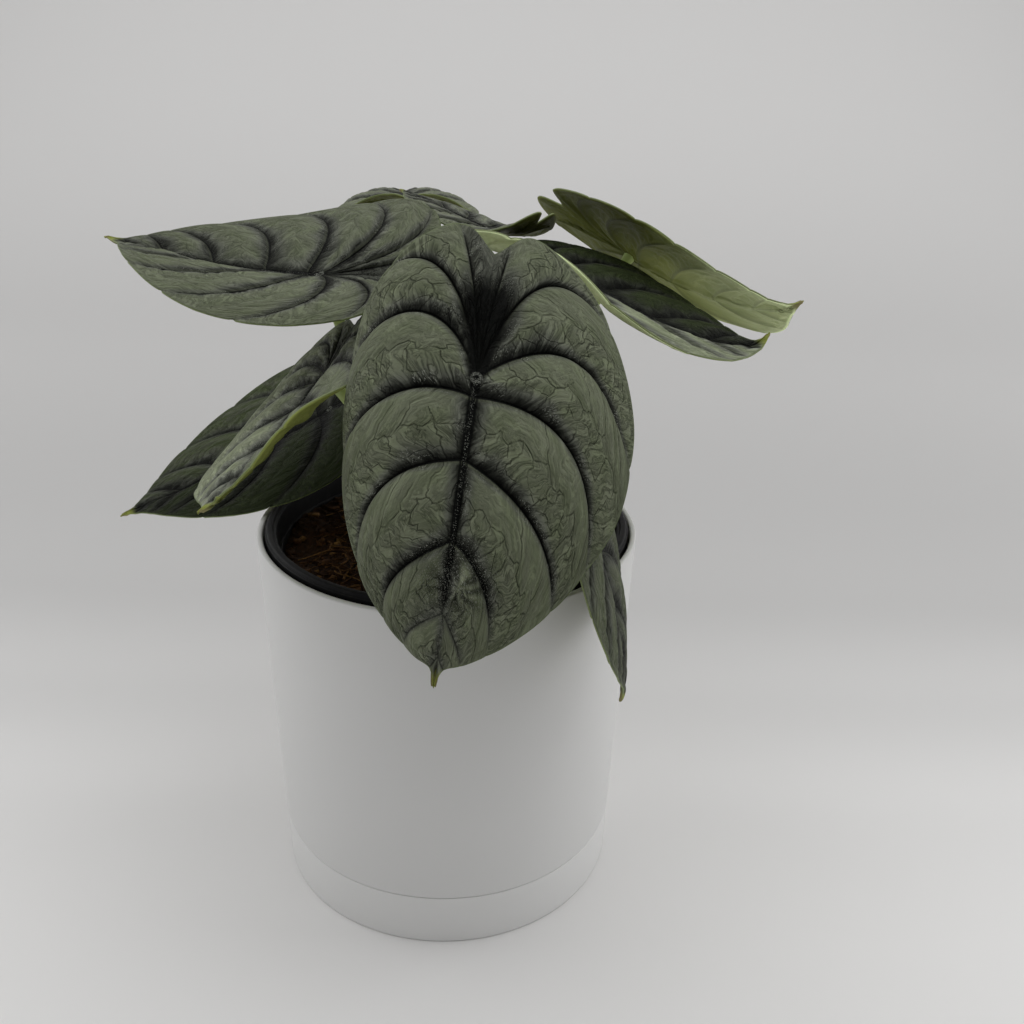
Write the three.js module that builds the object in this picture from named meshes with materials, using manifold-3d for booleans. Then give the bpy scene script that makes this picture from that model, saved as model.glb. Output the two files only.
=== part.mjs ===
// A potted silver dragon alocasia: nine peltate leaves, each a quilted blade on its petiole, round a short
// rhizome in coarse potting mix, in a black nursery pot that stands inside a white cover pot on its saucer.
// Millimetres, +Z up. The origin is the centre of the saucer's flat underside, and the big front leaf hangs
// on the -Y side.
import * as THREE from 'three';
import { mergeVertices } from 'three/addons/utils/BufferGeometryUtils.js';
import Module from 'manifold-3d';

const wasm = await Module();
wasm.setup();

// Pots
const GAP = 0.3; // clearance between pieces that rest on or in each other
const JOINT_GAP = 0.45; // clearance under a blade, whose underside is curved
const TURNED_SIDES = 40; // facets round every turned piece
const COVER = { rimRadius: 80, baseRadius: 75, height: 163, wall: 2.4, floor: 4, stepIn: 3.6, drainRadius: 7 };
const SAUCER = { height: 24.7, wall: 3.2, floor: 4, footChamfer: 0.8 };
const NURSERY = {
  rimRadius: 76.6, rimTop: 165.8, lipWidth: 3.4, lipDepth: 11, ledgeDrop: 2, ledgeWidth: 1.6,
  wall: 1.2, baseRadius: 56, drainHoles: 8, drainRadius: 5, drainRing: 44,
};
const SOIL = { top: 152, chips: 90, chipHeight: 4, chipSize: 7, rings: 9 };
const RHIZOME = { radius: 8, bottom: 123, top: 162, sides: 14 };

// Petioles stand in holes on a ring round the rhizome
const PETIOLE = {
  ring: 16.5, depth: 15, splay: 14, baseRadius: 3.7, topRadius: 2.1, sides: 8, steps: 11, holeSides: 10,
};

// Blades. Flat outlines are in leaf lengths, the length from the petiole's joint to the tip; x runs out from
// the midrib and y towards the tip.
const BLADE = { thickness: 0.9, midribDepth: 1.1, ribDepth: 0.6, quilt: 0.15, quiltMost: 3.2 };
const OUTLINE = [
  [0, -0.43], [0.13, -0.535], [0.375, -0.36], [0.5, 0], [0.47, 0.36],
  [0.335, 0.64], [0.2, 0.8], [0.085, 0.895], [0.022, 0.93], [0, 1],
];
// Ribs from the notch to the tip: start on the midrib, end along the outline in knots, then the point that
// each rib bends towards
const RIBS = [
  [0, 0, 0, -0.2], [0, 1, 0.03, -0.28], [0, 2, 0.115, -0.52], [0, 3.1, 0.25, -0.36],
  [0.06, 4.1, 0.33, 0], [0.25, 5.1, 0.31, 0.34], [0.49, 6.2, 0.18, 0.615], [0.72, 7, 0.08, 0.8],
  [0.88, 8, 0.012, 0.91], [1, 9, 0, 1],
];
// The front leaf's own ribs, each half as it shows
const FRONT_RIBS = {
  left: [
    [0, 0, 0, -0.2], [0, 0.4, 0.014, -0.24], [0, 2.2, 0.12, -0.58], [0, 3.5, 0.353, -0.35],
    [0.06, 4.6, 0.4, 0.03], [0.25, 5.2, 0.295, 0.387], [0.49, 6.5, 0.15, 0.61], [0.72, 7.2, 0.06, 0.83],
    [0.88, 8, 0.012, 0.91], [1, 9, 0, 1],
  ],
  right: [
    [0, 0, 0, -0.2], [0, 0.9, 0.025, -0.28], [0, 1.8, 0.095, -0.47], [0, 2.75, 0.158, -0.37],
    [0.06, 3.7, 0.255, -0.02], [0.25, 5.1, 0.32, 0.29], [0.49, 6.1, 0.215, 0.62], [0.72, 6.75, 0.105, 0.784],
    [0.88, 8, 0.012, 0.91], [1, 9, 0, 1],
  ],
};
const ROWS_PER_RIB = [2, 2, 2, 2, 3, 3, 2, 1, 1]; // grid rows between one rib and the next
const COLUMNS = 7; // grid columns from midrib to edge
const HOOK_START = 0.86; // place along the midrib where a drip tip starts to curl up
const ARC_STEPS = 24; // steps in which a bent line's length is added up

// One entry a leaf. joint is where the petiole meets the blade; heading is the compass of the tip from +X;
// dip is how far the tip points below level, and roll turns the blade about its length. Pairs are the left
// and right half, seen from above with the tip ahead: fold at the midrib, cup towards the edge and curl of
// the edge. bend, tipBend and lobeBend curve the midrib down, hook curls the tip up, sweep curves the blade
// sideways and twist turns it from joint to tip; lobes shortens the part behind the joint. base is the compass
// of the petiole's foot on its ring, and arrival its direction at the joint where it isn't square to the
// blade. All angles are in degrees.
const LEAVES = {
  front: {
    joint: [15.5, -105.5, 260.5], heading: -100, dip: 51, roll: -8, length: 102.5, width: 1.06,
    fold: [-10, 3.5], cup: [-26, -66], curl: [24, -4], curlAt: [0.4, 0.4], bend: 41, tipBend: 19,
    lobeBend: 27, hook: 32, sweep: 2.5, twist: 10, base: 270, ribs: FRONT_RIBS,
    rows: [2, 2, 3, 3, 4, 4, 3, 1, 1], columns: 8,
  },
  left: {
    joint: [-49, -2.5, 268], heading: 155, dip: 4.5, roll: -24.5, length: 101.5, width: 1.02, fold: [26, 11],
    cup: [-19, -20], curl: [-2, -7], curlAt: [0.4, 0.4], bend: -16, tipBend: -3.5, lobeBend: 0, hook: 10,
    sweep: -2.5, twist: 19.5, lobes: 0.9, base: 176, arrival: [-1.2, -6, 6.5],
  },
  left_folded: {
    joint: [-43.9, -33.3, 238], heading: 250.5, dip: 21.5, roll: 31, length: 86.5, width: 0.98, fold: [13.5, 5],
    cup: [-17, -17], curl: [75, 1.5], curlAt: [0.66, 0.4], curlSpan: 0.2, bend: -8.5, tipBend: -4,
    lobeBend: -15, hook: 10, sweep: -6.5, twist: -3.5, lobes: 0.78, base: 226,
  },
  left_low: {
    joint: [-58, 55, 193.5], heading: 196, dip: 30, roll: -2, length: 106.5, width: 1.01, fold: [7, 7],
    cup: [-29.5, 4], curl: [-5, 5], curlAt: [0.4, 0.4], bend: -9.5, tipBend: -5, lobeBend: -5, hook: 1,
    sweep: -3.5, twist: 0, lobes: 0.8, base: 144,
  },
  right: {
    joint: [38.5, -12.5, 276.5], heading: -32, dip: 15.5, roll: -24, length: 92, width: 1.02,
    fold: [20.5, -14], cup: [-2.5, 11.5], curl: [-4.5, 80], curlAt: [0.4, 0.17], curlSpan: 0.27, bend: 12.5,
    tipBend: -51, lobeBend: 24, hook: 61, sweep: -31, twist: 5.5, lobes: 0.6, base: 0,
  },
  right_back: {
    joint: [75, 41.5, 270], heading: -24, dip: 26, roll: -43.5, length: 83, width: 1.01, fold: [1, -11],
    cup: [29, 3.5], curl: [-1, 11], curlAt: [0.4, 0.4], bend: -4, tipBend: 0, lobeBend: 8.5, hook: 65,
    sweep: 49.5, twist: 4, base: 40,
  },
  back: {
    joint: [-25.3, 104.4, 281], heading: 97, dip: -1, roll: -1, length: 69.5, width: 1.02, fold: [5, 3.5],
    cup: [-31, -33], curl: [-7, 0], curlAt: [0.4, 0.4], bend: 12, tipBend: 12, lobeBend: -60, hook: 0,
    sweep: -2, twist: 0, lobes: 0.85, base: 110, arrival: [-2, 0.5, 4],
  },
  middle: {
    joint: [15.5, 25.5, 281.8], heading: 145, dip: -13, roll: 12, length: 49, width: 0.95, fold: [0, 5],
    cup: [-10, -10], curl: [0, 0], curlAt: [0.4, 0.4], bend: 0, tipBend: 0, lobeBend: -112, hook: 0,
    sweep: 0, twist: 0, lobes: 1.1, base: 74,
  },
  right_low: {
    joint: [54, -67.5, 205], heading: -30, dip: 71.5, roll: -21.5, length: 81, width: 1, fold: [5.5, 5],
    cup: [-12, -14.5], curl: [0, -3], curlAt: [0.4, 0.4], bend: 6.5, tipBend: 0, lobeBend: -5, hook: -32,
    sweep: 0, twist: 0, base: 315,
  },
};
const CURL_SPAN = 0.45; // how much of the length an edge's curl covers, where a leaf's curlSpan doesn't say

const finish = (color, roughness) => new THREE.MeshStandardMaterial({ color, roughness, metalness: 0 });
const GLAZE = finish(0xdcdcda, 0.55);
const BLACK_PLASTIC = finish(0x17181a, 0.5);
const MIX = finish(0x4a3323, 0.95);
const CORM = finish(0x6b5238, 0.85);
const LEAF_TOP = finish(0x5d675b, 0.5);
const STEM = finish(0x8fa05a, 0.55);

const rad = THREE.MathUtils.degToRad;
const lerp = THREE.MathUtils.lerp;
const group = new THREE.Group();

function addPiece(name, geometry, material) {
  const mesh = new THREE.Mesh(geometry, material);
  mesh.name = name;
  group.add(mesh);
}

// Solids and boolean cuts

function weld(geometry) {
  geometry.deleteAttribute('normal');
  geometry.deleteAttribute('uv');
  return mergeVertices(geometry, 1e-4);
}

function toSolid(geometry) {
  const welded = weld(geometry);
  return new wasm.Manifold(new wasm.Mesh({
    numProp: 3,
    vertProperties: new Float32Array(welded.attributes.position.array),
    triVerts: new Uint32Array(welded.index.array),
  }));
}

function toGeometry(solid) {
  const mesh = solid.getMesh();
  const geometry = new THREE.BufferGeometry();
  geometry.setAttribute('position', new THREE.BufferAttribute(mesh.vertProperties, 3));
  geometry.setIndex(new THREE.BufferAttribute(mesh.triVerts, 1));
  return geometry;
}

// A turned piece from its outline: [radius, height] pairs, counterclockwise with the axis on the left
function turned(outline, sides = TURNED_SIDES) {
  const points = outline.map(([radius, height]) => new THREE.Vector2(radius, height));
  return new THREE.LatheGeometry(points, sides).rotateX(Math.PI / 2);
}

function uprightCylinder(radius, bottom, top, sides) {
  const cylinder = new THREE.CylinderGeometry(radius, radius, top - bottom, sides).rotateX(Math.PI / 2);
  return cylinder.translate(0, 0, (bottom + top) / 2);
}

// Saucer and pots

const coverRadius = (height) => lerp(COVER.baseRadius, COVER.rimRadius, height / COVER.height);
const saucerInside = (height) => coverRadius(height) - SAUCER.wall;
const coverFloor = SAUCER.floor + GAP + COVER.floor;

function saucer() {
  return turned([
    [0, 0], [COVER.baseRadius - SAUCER.footChamfer, 0], [COVER.baseRadius, SAUCER.footChamfer],
    [coverRadius(SAUCER.height), SAUCER.height], [saucerInside(SAUCER.height), SAUCER.height],
    [saucerInside(SAUCER.floor), SAUCER.floor], [0, SAUCER.floor],
  ]);
}

function coverPot() {
  const bottom = SAUCER.floor + GAP;
  const shoulder = SAUCER.height + GAP;
  const stepRadius = (height) => coverRadius(height) - COVER.stepIn;
  const innerRim = COVER.rimRadius - COVER.wall;
  const innerBase = stepRadius(coverFloor) - COVER.wall;
  const round = COVER.wall / 4;
  return turned([
    [COVER.drainRadius, bottom], [stepRadius(bottom), bottom], [stepRadius(shoulder), shoulder],
    [coverRadius(shoulder), shoulder], [COVER.rimRadius, COVER.height - 2 * round],
    [COVER.rimRadius - round, COVER.height], [innerRim + round, COVER.height],
    [innerRim, COVER.height - 2 * round], [innerBase, coverFloor], [COVER.drainRadius, coverFloor],
    [COVER.drainRadius, bottom],
  ]);
}

const nurseryFloor = coverFloor + GAP + NURSERY.wall;
const nurseryTopRadius = NURSERY.rimRadius - NURSERY.lipWidth - NURSERY.ledgeWidth;
const nurseryInside = (height) => {
  const share = (height - nurseryFloor) / (NURSERY.rimTop - NURSERY.ledgeDrop - nurseryFloor);
  return lerp(NURSERY.baseRadius - NURSERY.wall, nurseryTopRadius, share);
};

function nurseryPot() {
  const lipBottom = NURSERY.rimTop - NURSERY.lipDepth;
  const lipInner = NURSERY.rimRadius - NURSERY.lipWidth;
  const ledge = NURSERY.rimTop - NURSERY.ledgeDrop;
  const bottom = nurseryFloor - NURSERY.wall;
  let pot = toSolid(turned([
    [0, bottom], [NURSERY.baseRadius, bottom], [nurseryInside(lipBottom) + NURSERY.wall, lipBottom],
    [NURSERY.rimRadius, lipBottom], [NURSERY.rimRadius, NURSERY.rimTop], [lipInner, NURSERY.rimTop],
    [lipInner, ledge], [nurseryTopRadius, ledge], [nurseryInside(nurseryFloor), nurseryFloor],
    [0, nurseryFloor],
  ]));
  for (let i = 0; i < NURSERY.drainHoles; i++) {
    const angle = (i / NURSERY.drainHoles) * 2 * Math.PI;
    const hole = uprightCylinder(NURSERY.drainRadius, bottom - 1, nurseryFloor + 1, 8);
    hole.translate(NURSERY.drainRing * Math.cos(angle), NURSERY.drainRing * Math.sin(angle), 0);
    pot = pot.subtract(toSolid(hole));
  }
  return toGeometry(pot);
}

// Potting mix: a plug that fills the nursery pot, with bark chips raised on its top by seeded draws

function seededRandom(seed) {
  let state = seed;
  return () => {
    state = (Math.imul(state, 1664525) + 1013904223) >>> 0;
    return state / 4294967296;
  };
}

function chipField() {
  const random = seededRandom(7);
  const chips = [];
  for (let i = 0; i < SOIL.chips; i++) {
    const radius = nurseryTopRadius * Math.sqrt(random());
    const angle = 2 * Math.PI * random();
    const size = SOIL.chipSize * (0.6 + 0.8 * random());
    const height = SOIL.chipHeight * (0.3 + 0.7 * random());
    chips.push({ x: radius * Math.cos(angle), y: radius * Math.sin(angle), size, height });
  }
  return (x, y) => Math.max(...chips.map((chip) => {
    const away = Math.hypot(x - chip.x, y - chip.y) / chip.size;
    return chip.height * Math.exp(-(away ** 4));
  }));
}

function soilSurface() {
  const radius = nurseryInside(SOIL.top) - GAP;
  const bottom = nurseryFloor + GAP;
  const outline = [[0, bottom], [nurseryInside(bottom) - GAP, bottom], [radius, SOIL.top]];
  for (let ring = SOIL.rings - 1; ring >= 0; ring--) outline.push([radius * ring / SOIL.rings, SOIL.top]);
  const plug = turned(outline);
  const raise = chipField();
  const position = plug.attributes.position;
  for (let i = 0; i < position.count; i++) {
    const [x, y, z] = [position.getX(i), position.getY(i), position.getZ(i)];
    const inside = Math.hypot(x, y) < radius - 1;
    if (inside && z > SOIL.top - 1) position.setZ(i, SOIL.top + raise(x, y));
  }
  return plug;
}

// Rhizome: a short ringed corm, its crown just above the mix

function rhizome() {
  const { radius, bottom, top } = RHIZOME;
  const outline = [[0, bottom], [radius * 0.6, bottom + 2]];
  for (let height = bottom + 8; height < top - 6; height += 5) {
    outline.push([radius, height], [radius * 0.9, height + 3]);
  }
  outline.push([radius * 0.6, top - 2], [0, top]);
  return turned(outline, RHIZOME.sides);
}

// Blades

// A point at place t on the smooth curve through the knots
function alongCurve(knots, t) {
  const last = knots.length - 1;
  const i = Math.min(Math.floor(t), last - 1);
  const f = t - i;
  const mirror = (a, b) => [2 * a[0] - b[0], 2 * a[1] - b[1]];
  const [p1, p2] = [knots[i], knots[i + 1]];
  const p0 = i > 0 ? knots[i - 1] : mirror(p1, p2);
  const p3 = i < last - 1 ? knots[i + 2] : mirror(p2, p1);
  return [0, 1].map((k) => 0.5 * (2 * p1[k] + (p2[k] - p0[k]) * f
    + (2 * p0[k] - 5 * p1[k] + 4 * p2[k] - p3[k]) * f ** 2
    + (3 * p1[k] - p0[k] - 3 * p2[k] + p3[k]) * f ** 3));
}

// The flat place at rib number a, and t of the way from the midrib to the edge
function flatPlace(ribs, a, t) {
  const i = Math.min(Math.floor(a), ribs.length - 2);
  const [start, end, bendX, bendY] = ribs[i].map((value, k) => lerp(value, ribs[i + 1][k], a - i));
  const edge = alongCurve(OUTLINE, end);
  return [
    2 * bendX * t * (1 - t) + edge[0] * t ** 2,
    start * (1 - t) ** 2 + 2 * bendY * t * (1 - t) + edge[1] * t ** 2,
  ];
}

const outlineSamples = Array.from({ length: 161 }, (_, i) => alongCurve(OUTLINE, 1 + i / 20));

function halfWidthAt(y) {
  const next = outlineSamples.findIndex((sample) => sample[1] > y);
  if (next <= 0) return next === 0 ? OUTLINE[1][0] : 0;
  const [below, above] = [outlineSamples[next - 1], outlineSamples[next]];
  return lerp(below[0], above[0], (y - below[1]) / (above[1] - below[1]));
}

// Slope of the midrib below level and its sideways angle, at place v along it
function midribAngles(leaf, v) {
  const hooked = Math.max(0, (v - HOOK_START) / (1 - HOOK_START)) ** 1.5;
  const slope = v < 0 ? leaf.lobeBend * v : leaf.bend * v + leaf.tipBend * v ** 3 - leaf.hook * hooked;
  return [rad(slope), rad(leaf.sweep * v)];
}

const aheadAlong = (slope, swing) => new THREE.Vector3(
  Math.sin(swing) * Math.cos(slope), Math.cos(swing) * Math.cos(slope), -Math.sin(slope));

const leafTurn = (leaf) => new THREE.Euler(-rad(leaf.dip), rad(leaf.roll), rad(leaf.heading - 90), 'ZXY');

// The place in space of a flat place, x out from the midrib on one side (-1 left, +1 right)
function bladePlace(leaf, side, x, flatY) {
  const y = flatY < 0 ? flatY * (leaf.lobes ?? 1) : flatY;
  const half = side > 0 ? 1 : 0;
  const reach = x * leaf.length * leaf.width;
  const curled = Math.exp(-(((y - leaf.curlAt[half]) / (leaf.curlSpan ?? CURL_SPAN)) ** 2));
  const halfWidth = Math.max(halfWidthAt(y) * leaf.length * leaf.width, 3);
  let [out, lift] = [0, 0];
  const middle = new THREE.Vector3();
  for (let i = 0; i < ARC_STEPS; i++) {
    const share = (i + 0.5) / ARC_STEPS;
    const r = reach * share;
    const lean = rad(leaf.fold[half] + leaf.cup[half] * r / (leaf.length / 2)
      + leaf.curl[half] * curled * (r / halfWidth) ** 5);
    out += Math.cos(lean) * reach / ARC_STEPS;
    lift += Math.sin(lean) * reach / ARC_STEPS;
    const [slope, swing] = midribAngles(leaf, y * share);
    middle.addScaledVector(aheadAlong(slope, swing), y * leaf.length / ARC_STEPS);
  }
  const [slope, swing] = midribAngles(leaf, y);
  const ahead = aheadAlong(slope, swing);
  const across = new THREE.Vector3(Math.cos(swing), -Math.sin(swing), 0);
  across.applyAxisAngle(ahead, rad(leaf.twist) * y);
  const up = new THREE.Vector3().crossVectors(across, ahead);
  middle.addScaledVector(across, side * out).addScaledVector(up, lift);
  return middle.applyEuler(leafTurn(leaf)).add(new THREE.Vector3(...leaf.joint));
}

// The blade's upward normal at a flat place; on the midrib it is shared by both halves
function bladeNormal(leaf, side, x, y) {
  const small = 0.004;
  const one = (s) => {
    const inX = bladePlace(leaf, s, x + small, y).sub(bladePlace(leaf, s, x, y)).multiplyScalar(s);
    const inY = bladePlace(leaf, s, x, y + small).sub(bladePlace(leaf, s, x, y - small));
    return inX.cross(inY).normalize();
  };
  return x < 1e-6 ? one(1).add(one(-1)).normalize() : one(side);
}

// Quilting: the blade swells between the ribs and sinks along them, and lies flat again at the edge
function quiltHeight(leaf, ribs, a, t) {
  const i = Math.min(Math.floor(a), ribs.length - 2);
  const [ax, ay] = flatPlace(ribs, i, t);
  const [bx, by] = flatPlace(ribs, i + 1, t);
  const panel = Math.hypot(bx - ax, by - ay) * leaf.length;
  const swell = Math.sin(Math.PI * (a - i));
  const fade = Math.min(1, t / 0.35) * (1 - 0.85 * t ** 3);
  return Math.min(BLADE.quiltMost, BLADE.quilt * panel) * swell * fade;
}

// Ribs stand out below: full depth on a rib, none halfway to the next
function bladeDepth(a, t) {
  const onRib = Math.max(0, 1 - 4 * Math.abs(a - Math.round(a)));
  const onMidrib = Math.max(0, 1 - 6 * t);
  const rib = BLADE.ribDepth * onRib * (1 - t);
  return BLADE.thickness + Math.max(rib, BLADE.midribDepth * onMidrib);
}

function rowPlaces(rows) {
  const places = [0];
  rows.forEach((count, rib) => {
    for (let k = 1; k <= count; k++) places.push(rib + k / count);
  });
  return places;
}

function blade(leaf) {
  const rows = rowPlaces(leaf.rows ?? ROWS_PER_RIB);
  const columns = leaf.columns ?? COLUMNS;
  const [upper, lower, numbers, triangles] = [[], [], new Map(), []];
  const vertex = (side, ribs, a, t) => {
    const [x, y] = flatPlace(ribs, a, t);
    const key = `${Math.round(side * x * 1e5) || 0} ${Math.round(y * 1e5)}`;
    if (!numbers.has(key)) {
      const place = bladePlace(leaf, side, x, y);
      const normal = bladeNormal(leaf, side, x, y);
      const height = quiltHeight(leaf, ribs, a, t);
      numbers.set(key, upper.length);
      upper.push(place.clone().addScaledVector(normal, height));
      lower.push(place.clone().addScaledVector(normal, height - bladeDepth(a, t)));
    }
    return numbers.get(key);
  };
  for (const side of [-1, 1]) {
    const ribs = leaf.ribs ? leaf.ribs[side < 0 ? 'left' : 'right'] : RIBS;
    for (let i = 0; i + 1 < rows.length; i++) {
      for (let j = 0; j < columns; j++) {
        const [near, far] = [j / columns, (j + 1) / columns];
        const corners = [
          vertex(side, ribs, rows[i], near), vertex(side, ribs, rows[i], far),
          vertex(side, ribs, rows[i + 1], far), vertex(side, ribs, rows[i + 1], near),
        ];
        if (side < 0) corners.reverse();
        triangles.push([corners[0], corners[1], corners[2]], [corners[0], corners[2], corners[3]]);
      }
    }
  }
  const faces = triangles.filter(([p, q, r]) => p !== q && q !== r && r !== p);
  return closeSheet(upper, lower, faces);
}

// A closed body from a sheet's upper and lower faces, split alike, and a wall along their open edge
function closeSheet(upper, lower, faces) {
  const edges = new Map();
  for (const face of faces) {
    face.forEach((from, k) => {
      const to = face[(k + 1) % 3];
      if (!edges.delete(`${to} ${from}`)) edges.set(`${from} ${to}`, [from, to]);
    });
  }
  const shift = upper.length;
  const index = faces.flatMap(([p, q, r]) => [p, q, r, r + shift, q + shift, p + shift]);
  for (const [from, to] of edges.values()) {
    index.push(to, from, from + shift, to, from + shift, to + shift);
  }
  const geometry = new THREE.BufferGeometry().setFromPoints([...upper, ...lower]);
  geometry.setIndex(index);
  return geometry;
}

// Petioles

function petioleCurve(leaf) {
  const angle = rad(leaf.base);
  const splay = rad(PETIOLE.splay);
  const outward = new THREE.Vector3(Math.cos(angle), Math.sin(angle), 0);
  const rise = new THREE.Vector3(0, 0, Math.cos(splay)).addScaledVector(outward, Math.sin(splay));
  const surface = outward.clone().multiplyScalar(PETIOLE.ring).setZ(SOIL.top);
  const foot = surface.clone().addScaledVector(rise, -PETIOLE.depth);
  const clear = surface.clone().addScaledVector(rise, SOIL.chipHeight + 2);
  const normal = bladeNormal(leaf, 1, 0, 0);
  const arrival = leaf.arrival ? new THREE.Vector3(...leaf.arrival).normalize() : normal;
  const below = bladeDepth(0, 0) + JOINT_GAP + PETIOLE.topRadius * Math.sin(arrival.angleTo(normal));
  const end = bladePlace(leaf, 1, 0, 0).addScaledVector(normal, -below);
  const span = clear.distanceTo(end);
  const curve = new THREE.CurvePath();
  curve.add(new THREE.LineCurve3(foot, clear));
  curve.add(new THREE.CubicBezierCurve3(
    clear, clear.clone().addScaledVector(rise, span * 0.45),
    end.clone().addScaledVector(arrival, -span * 0.3), end,
  ));
  return { curve, foot, rise };
}

function petiole(leaf) {
  const { curve } = petioleCurve(leaf);
  const section = new THREE.Shape().absarc(0, 0, 1, 0, 2 * Math.PI);
  const tube = new THREE.ExtrudeGeometry(section, {
    steps: PETIOLE.steps, extrudePath: curve, curveSegments: PETIOLE.sides / 2, bevelEnabled: false,
  });
  const stations = curve.getSpacedPoints(PETIOLE.steps);
  const position = tube.attributes.position;
  const point = new THREE.Vector3();
  for (let i = 0; i < position.count; i++) {
    point.fromBufferAttribute(position, i);
    const distances = stations.map((station) => station.distanceTo(point));
    const nearest = distances.indexOf(Math.min(...distances));
    const radius = lerp(PETIOLE.baseRadius, PETIOLE.topRadius, nearest / PETIOLE.steps);
    point.sub(stations[nearest]).multiplyScalar(radius).add(stations[nearest]);
    position.setXYZ(i, point.x, point.y, point.z);
  }
  return weld(tube);
}

// The plain hole that a petiole stands in
function petioleHole(leaf) {
  const { foot, rise } = petioleCurve(leaf);
  const length = PETIOLE.depth + SOIL.chipHeight + 4;
  const radius = (PETIOLE.baseRadius + GAP) / Math.cos(Math.PI / PETIOLE.holeSides);
  const hole = new THREE.CylinderGeometry(radius, radius, length, PETIOLE.holeSides);
  hole.translate(0, length / 2 - GAP, 0);
  hole.applyQuaternion(new THREE.Quaternion().setFromUnitVectors(new THREE.Vector3(0, 1, 0), rise));
  return hole.translate(foot.x, foot.y, foot.z);
}

function soil() {
  const well = uprightCylinder(RHIZOME.radius + GAP, RHIZOME.bottom - GAP, RHIZOME.top + 4, RHIZOME.sides);
  let plug = toSolid(soilSurface()).subtract(toSolid(well));
  for (const leaf of Object.values(LEAVES)) plug = plug.subtract(toSolid(petioleHole(leaf)));
  return toGeometry(plug);
}

addPiece('saucer', saucer(), GLAZE);
addPiece('cover_pot', coverPot(), GLAZE);
addPiece('nursery_pot', nurseryPot(), BLACK_PLASTIC);
addPiece('soil', soil(), MIX);
addPiece('rhizome', rhizome(), CORM);
for (const [name, leaf] of Object.entries(LEAVES)) {
  addPiece(`blade_${name}`, blade(leaf), LEAF_TOP);
  addPiece(`petiole_${name}`, petiole(leaf), STEM);
}

export default group;
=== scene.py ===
"""A potted silver dragon alocasia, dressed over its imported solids, with a pale studio round it.

Lengths in the leaf and pot tables are millimetres, as in the part's source; the scene is in metres.
"""

import math

import bpy
import numpy as np
from mathutils import Matrix, Vector


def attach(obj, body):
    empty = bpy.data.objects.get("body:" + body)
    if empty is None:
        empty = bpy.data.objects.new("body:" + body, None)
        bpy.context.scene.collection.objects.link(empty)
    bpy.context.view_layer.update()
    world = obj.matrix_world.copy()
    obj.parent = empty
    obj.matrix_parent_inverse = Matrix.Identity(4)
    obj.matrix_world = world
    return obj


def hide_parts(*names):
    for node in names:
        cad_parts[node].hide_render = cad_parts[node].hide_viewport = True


bl_info = {
    "name": "Potted silver dragon alocasia",
    "version": (1, 0, 0),
    "blender": (4, 5, 0),
    "location": "3D View > Sidebar > Alocasia",
    "description": "Builds the leaves, pots and potting mix of a silver dragon alocasia",
    "category": "Object",
}

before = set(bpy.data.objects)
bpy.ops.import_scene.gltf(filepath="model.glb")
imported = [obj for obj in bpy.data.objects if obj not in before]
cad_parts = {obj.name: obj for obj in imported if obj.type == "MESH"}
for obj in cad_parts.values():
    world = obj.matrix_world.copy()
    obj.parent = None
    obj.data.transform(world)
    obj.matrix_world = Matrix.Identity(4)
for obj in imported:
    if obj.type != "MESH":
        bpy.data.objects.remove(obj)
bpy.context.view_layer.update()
MM = 0.001

# Blades: the flat outline and the ribs of a half, in leaf lengths, as the solids have them

OUTLINE = np.array([
    (0, -0.43), (0.13, -0.535), (0.375, -0.36), (0.5, 0), (0.47, 0.36),
    (0.335, 0.64), (0.2, 0.8), (0.085, 0.895), (0.022, 0.93), (0, 1),
])
# Most blades narrow evenly into the drip tip
TAPERED = OUTLINE.copy()
TAPERED[6:9] = (0.205, 0.79), (0.105, 0.872), (0.036, 0.936)
# Each rib: start on the midrib, end along the outline in knots, and the point that it bends towards
RIBS = np.array([
    (0, 0, 0, -0.2), (0, 1, 0.03, -0.28), (0, 2, 0.115, -0.52), (0, 3.1, 0.25, -0.36),
    (0.06, 4.1, 0.33, 0), (0.25, 5.1, 0.31, 0.34), (0.49, 6.2, 0.18, 0.615), (0.72, 7, 0.08, 0.8),
    (0.88, 8, 0.012, 0.91), (1, 9, 0, 1),
])
FRONT_RIBS = (
    np.array([
        (0, 0, 0, -0.2), (0, 0.4, 0.014, -0.24), (0, 2.2, 0.12, -0.58), (0, 3.5, 0.353, -0.35),
        (0.06, 4.6, 0.4, 0.03), (0.25, 5.2, 0.295, 0.387), (0.49, 6.5, 0.15, 0.61),
        (0.72, 7.2, 0.06, 0.83), (0.88, 8, 0.012, 0.91), (1, 9, 0, 1),
    ]),
    np.array([
        (0, 0, 0, -0.2), (0, 0.9, 0.025, -0.28), (0, 1.8, 0.095, -0.47), (0, 2.75, 0.158, -0.37),
        (0.06, 3.7, 0.255, -0.02), (0.25, 5.1, 0.32, 0.29), (0.49, 6.1, 0.215, 0.62),
        (0.72, 6.75, 0.105, 0.784), (0.88, 8, 0.012, 0.91), (1, 9, 0, 1),
    ]),
)
# Share of the grid rows between ribs; where a drip tip's hook starts; steps that add up a blade's arcs
RIB_ROWS = (0.045, 0.09, 0.15, 0.17, 0.18, 0.15, 0.1, 0.065, 0.05)
HOOK_START, ARC_STEPS = 0.86, 24

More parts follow.
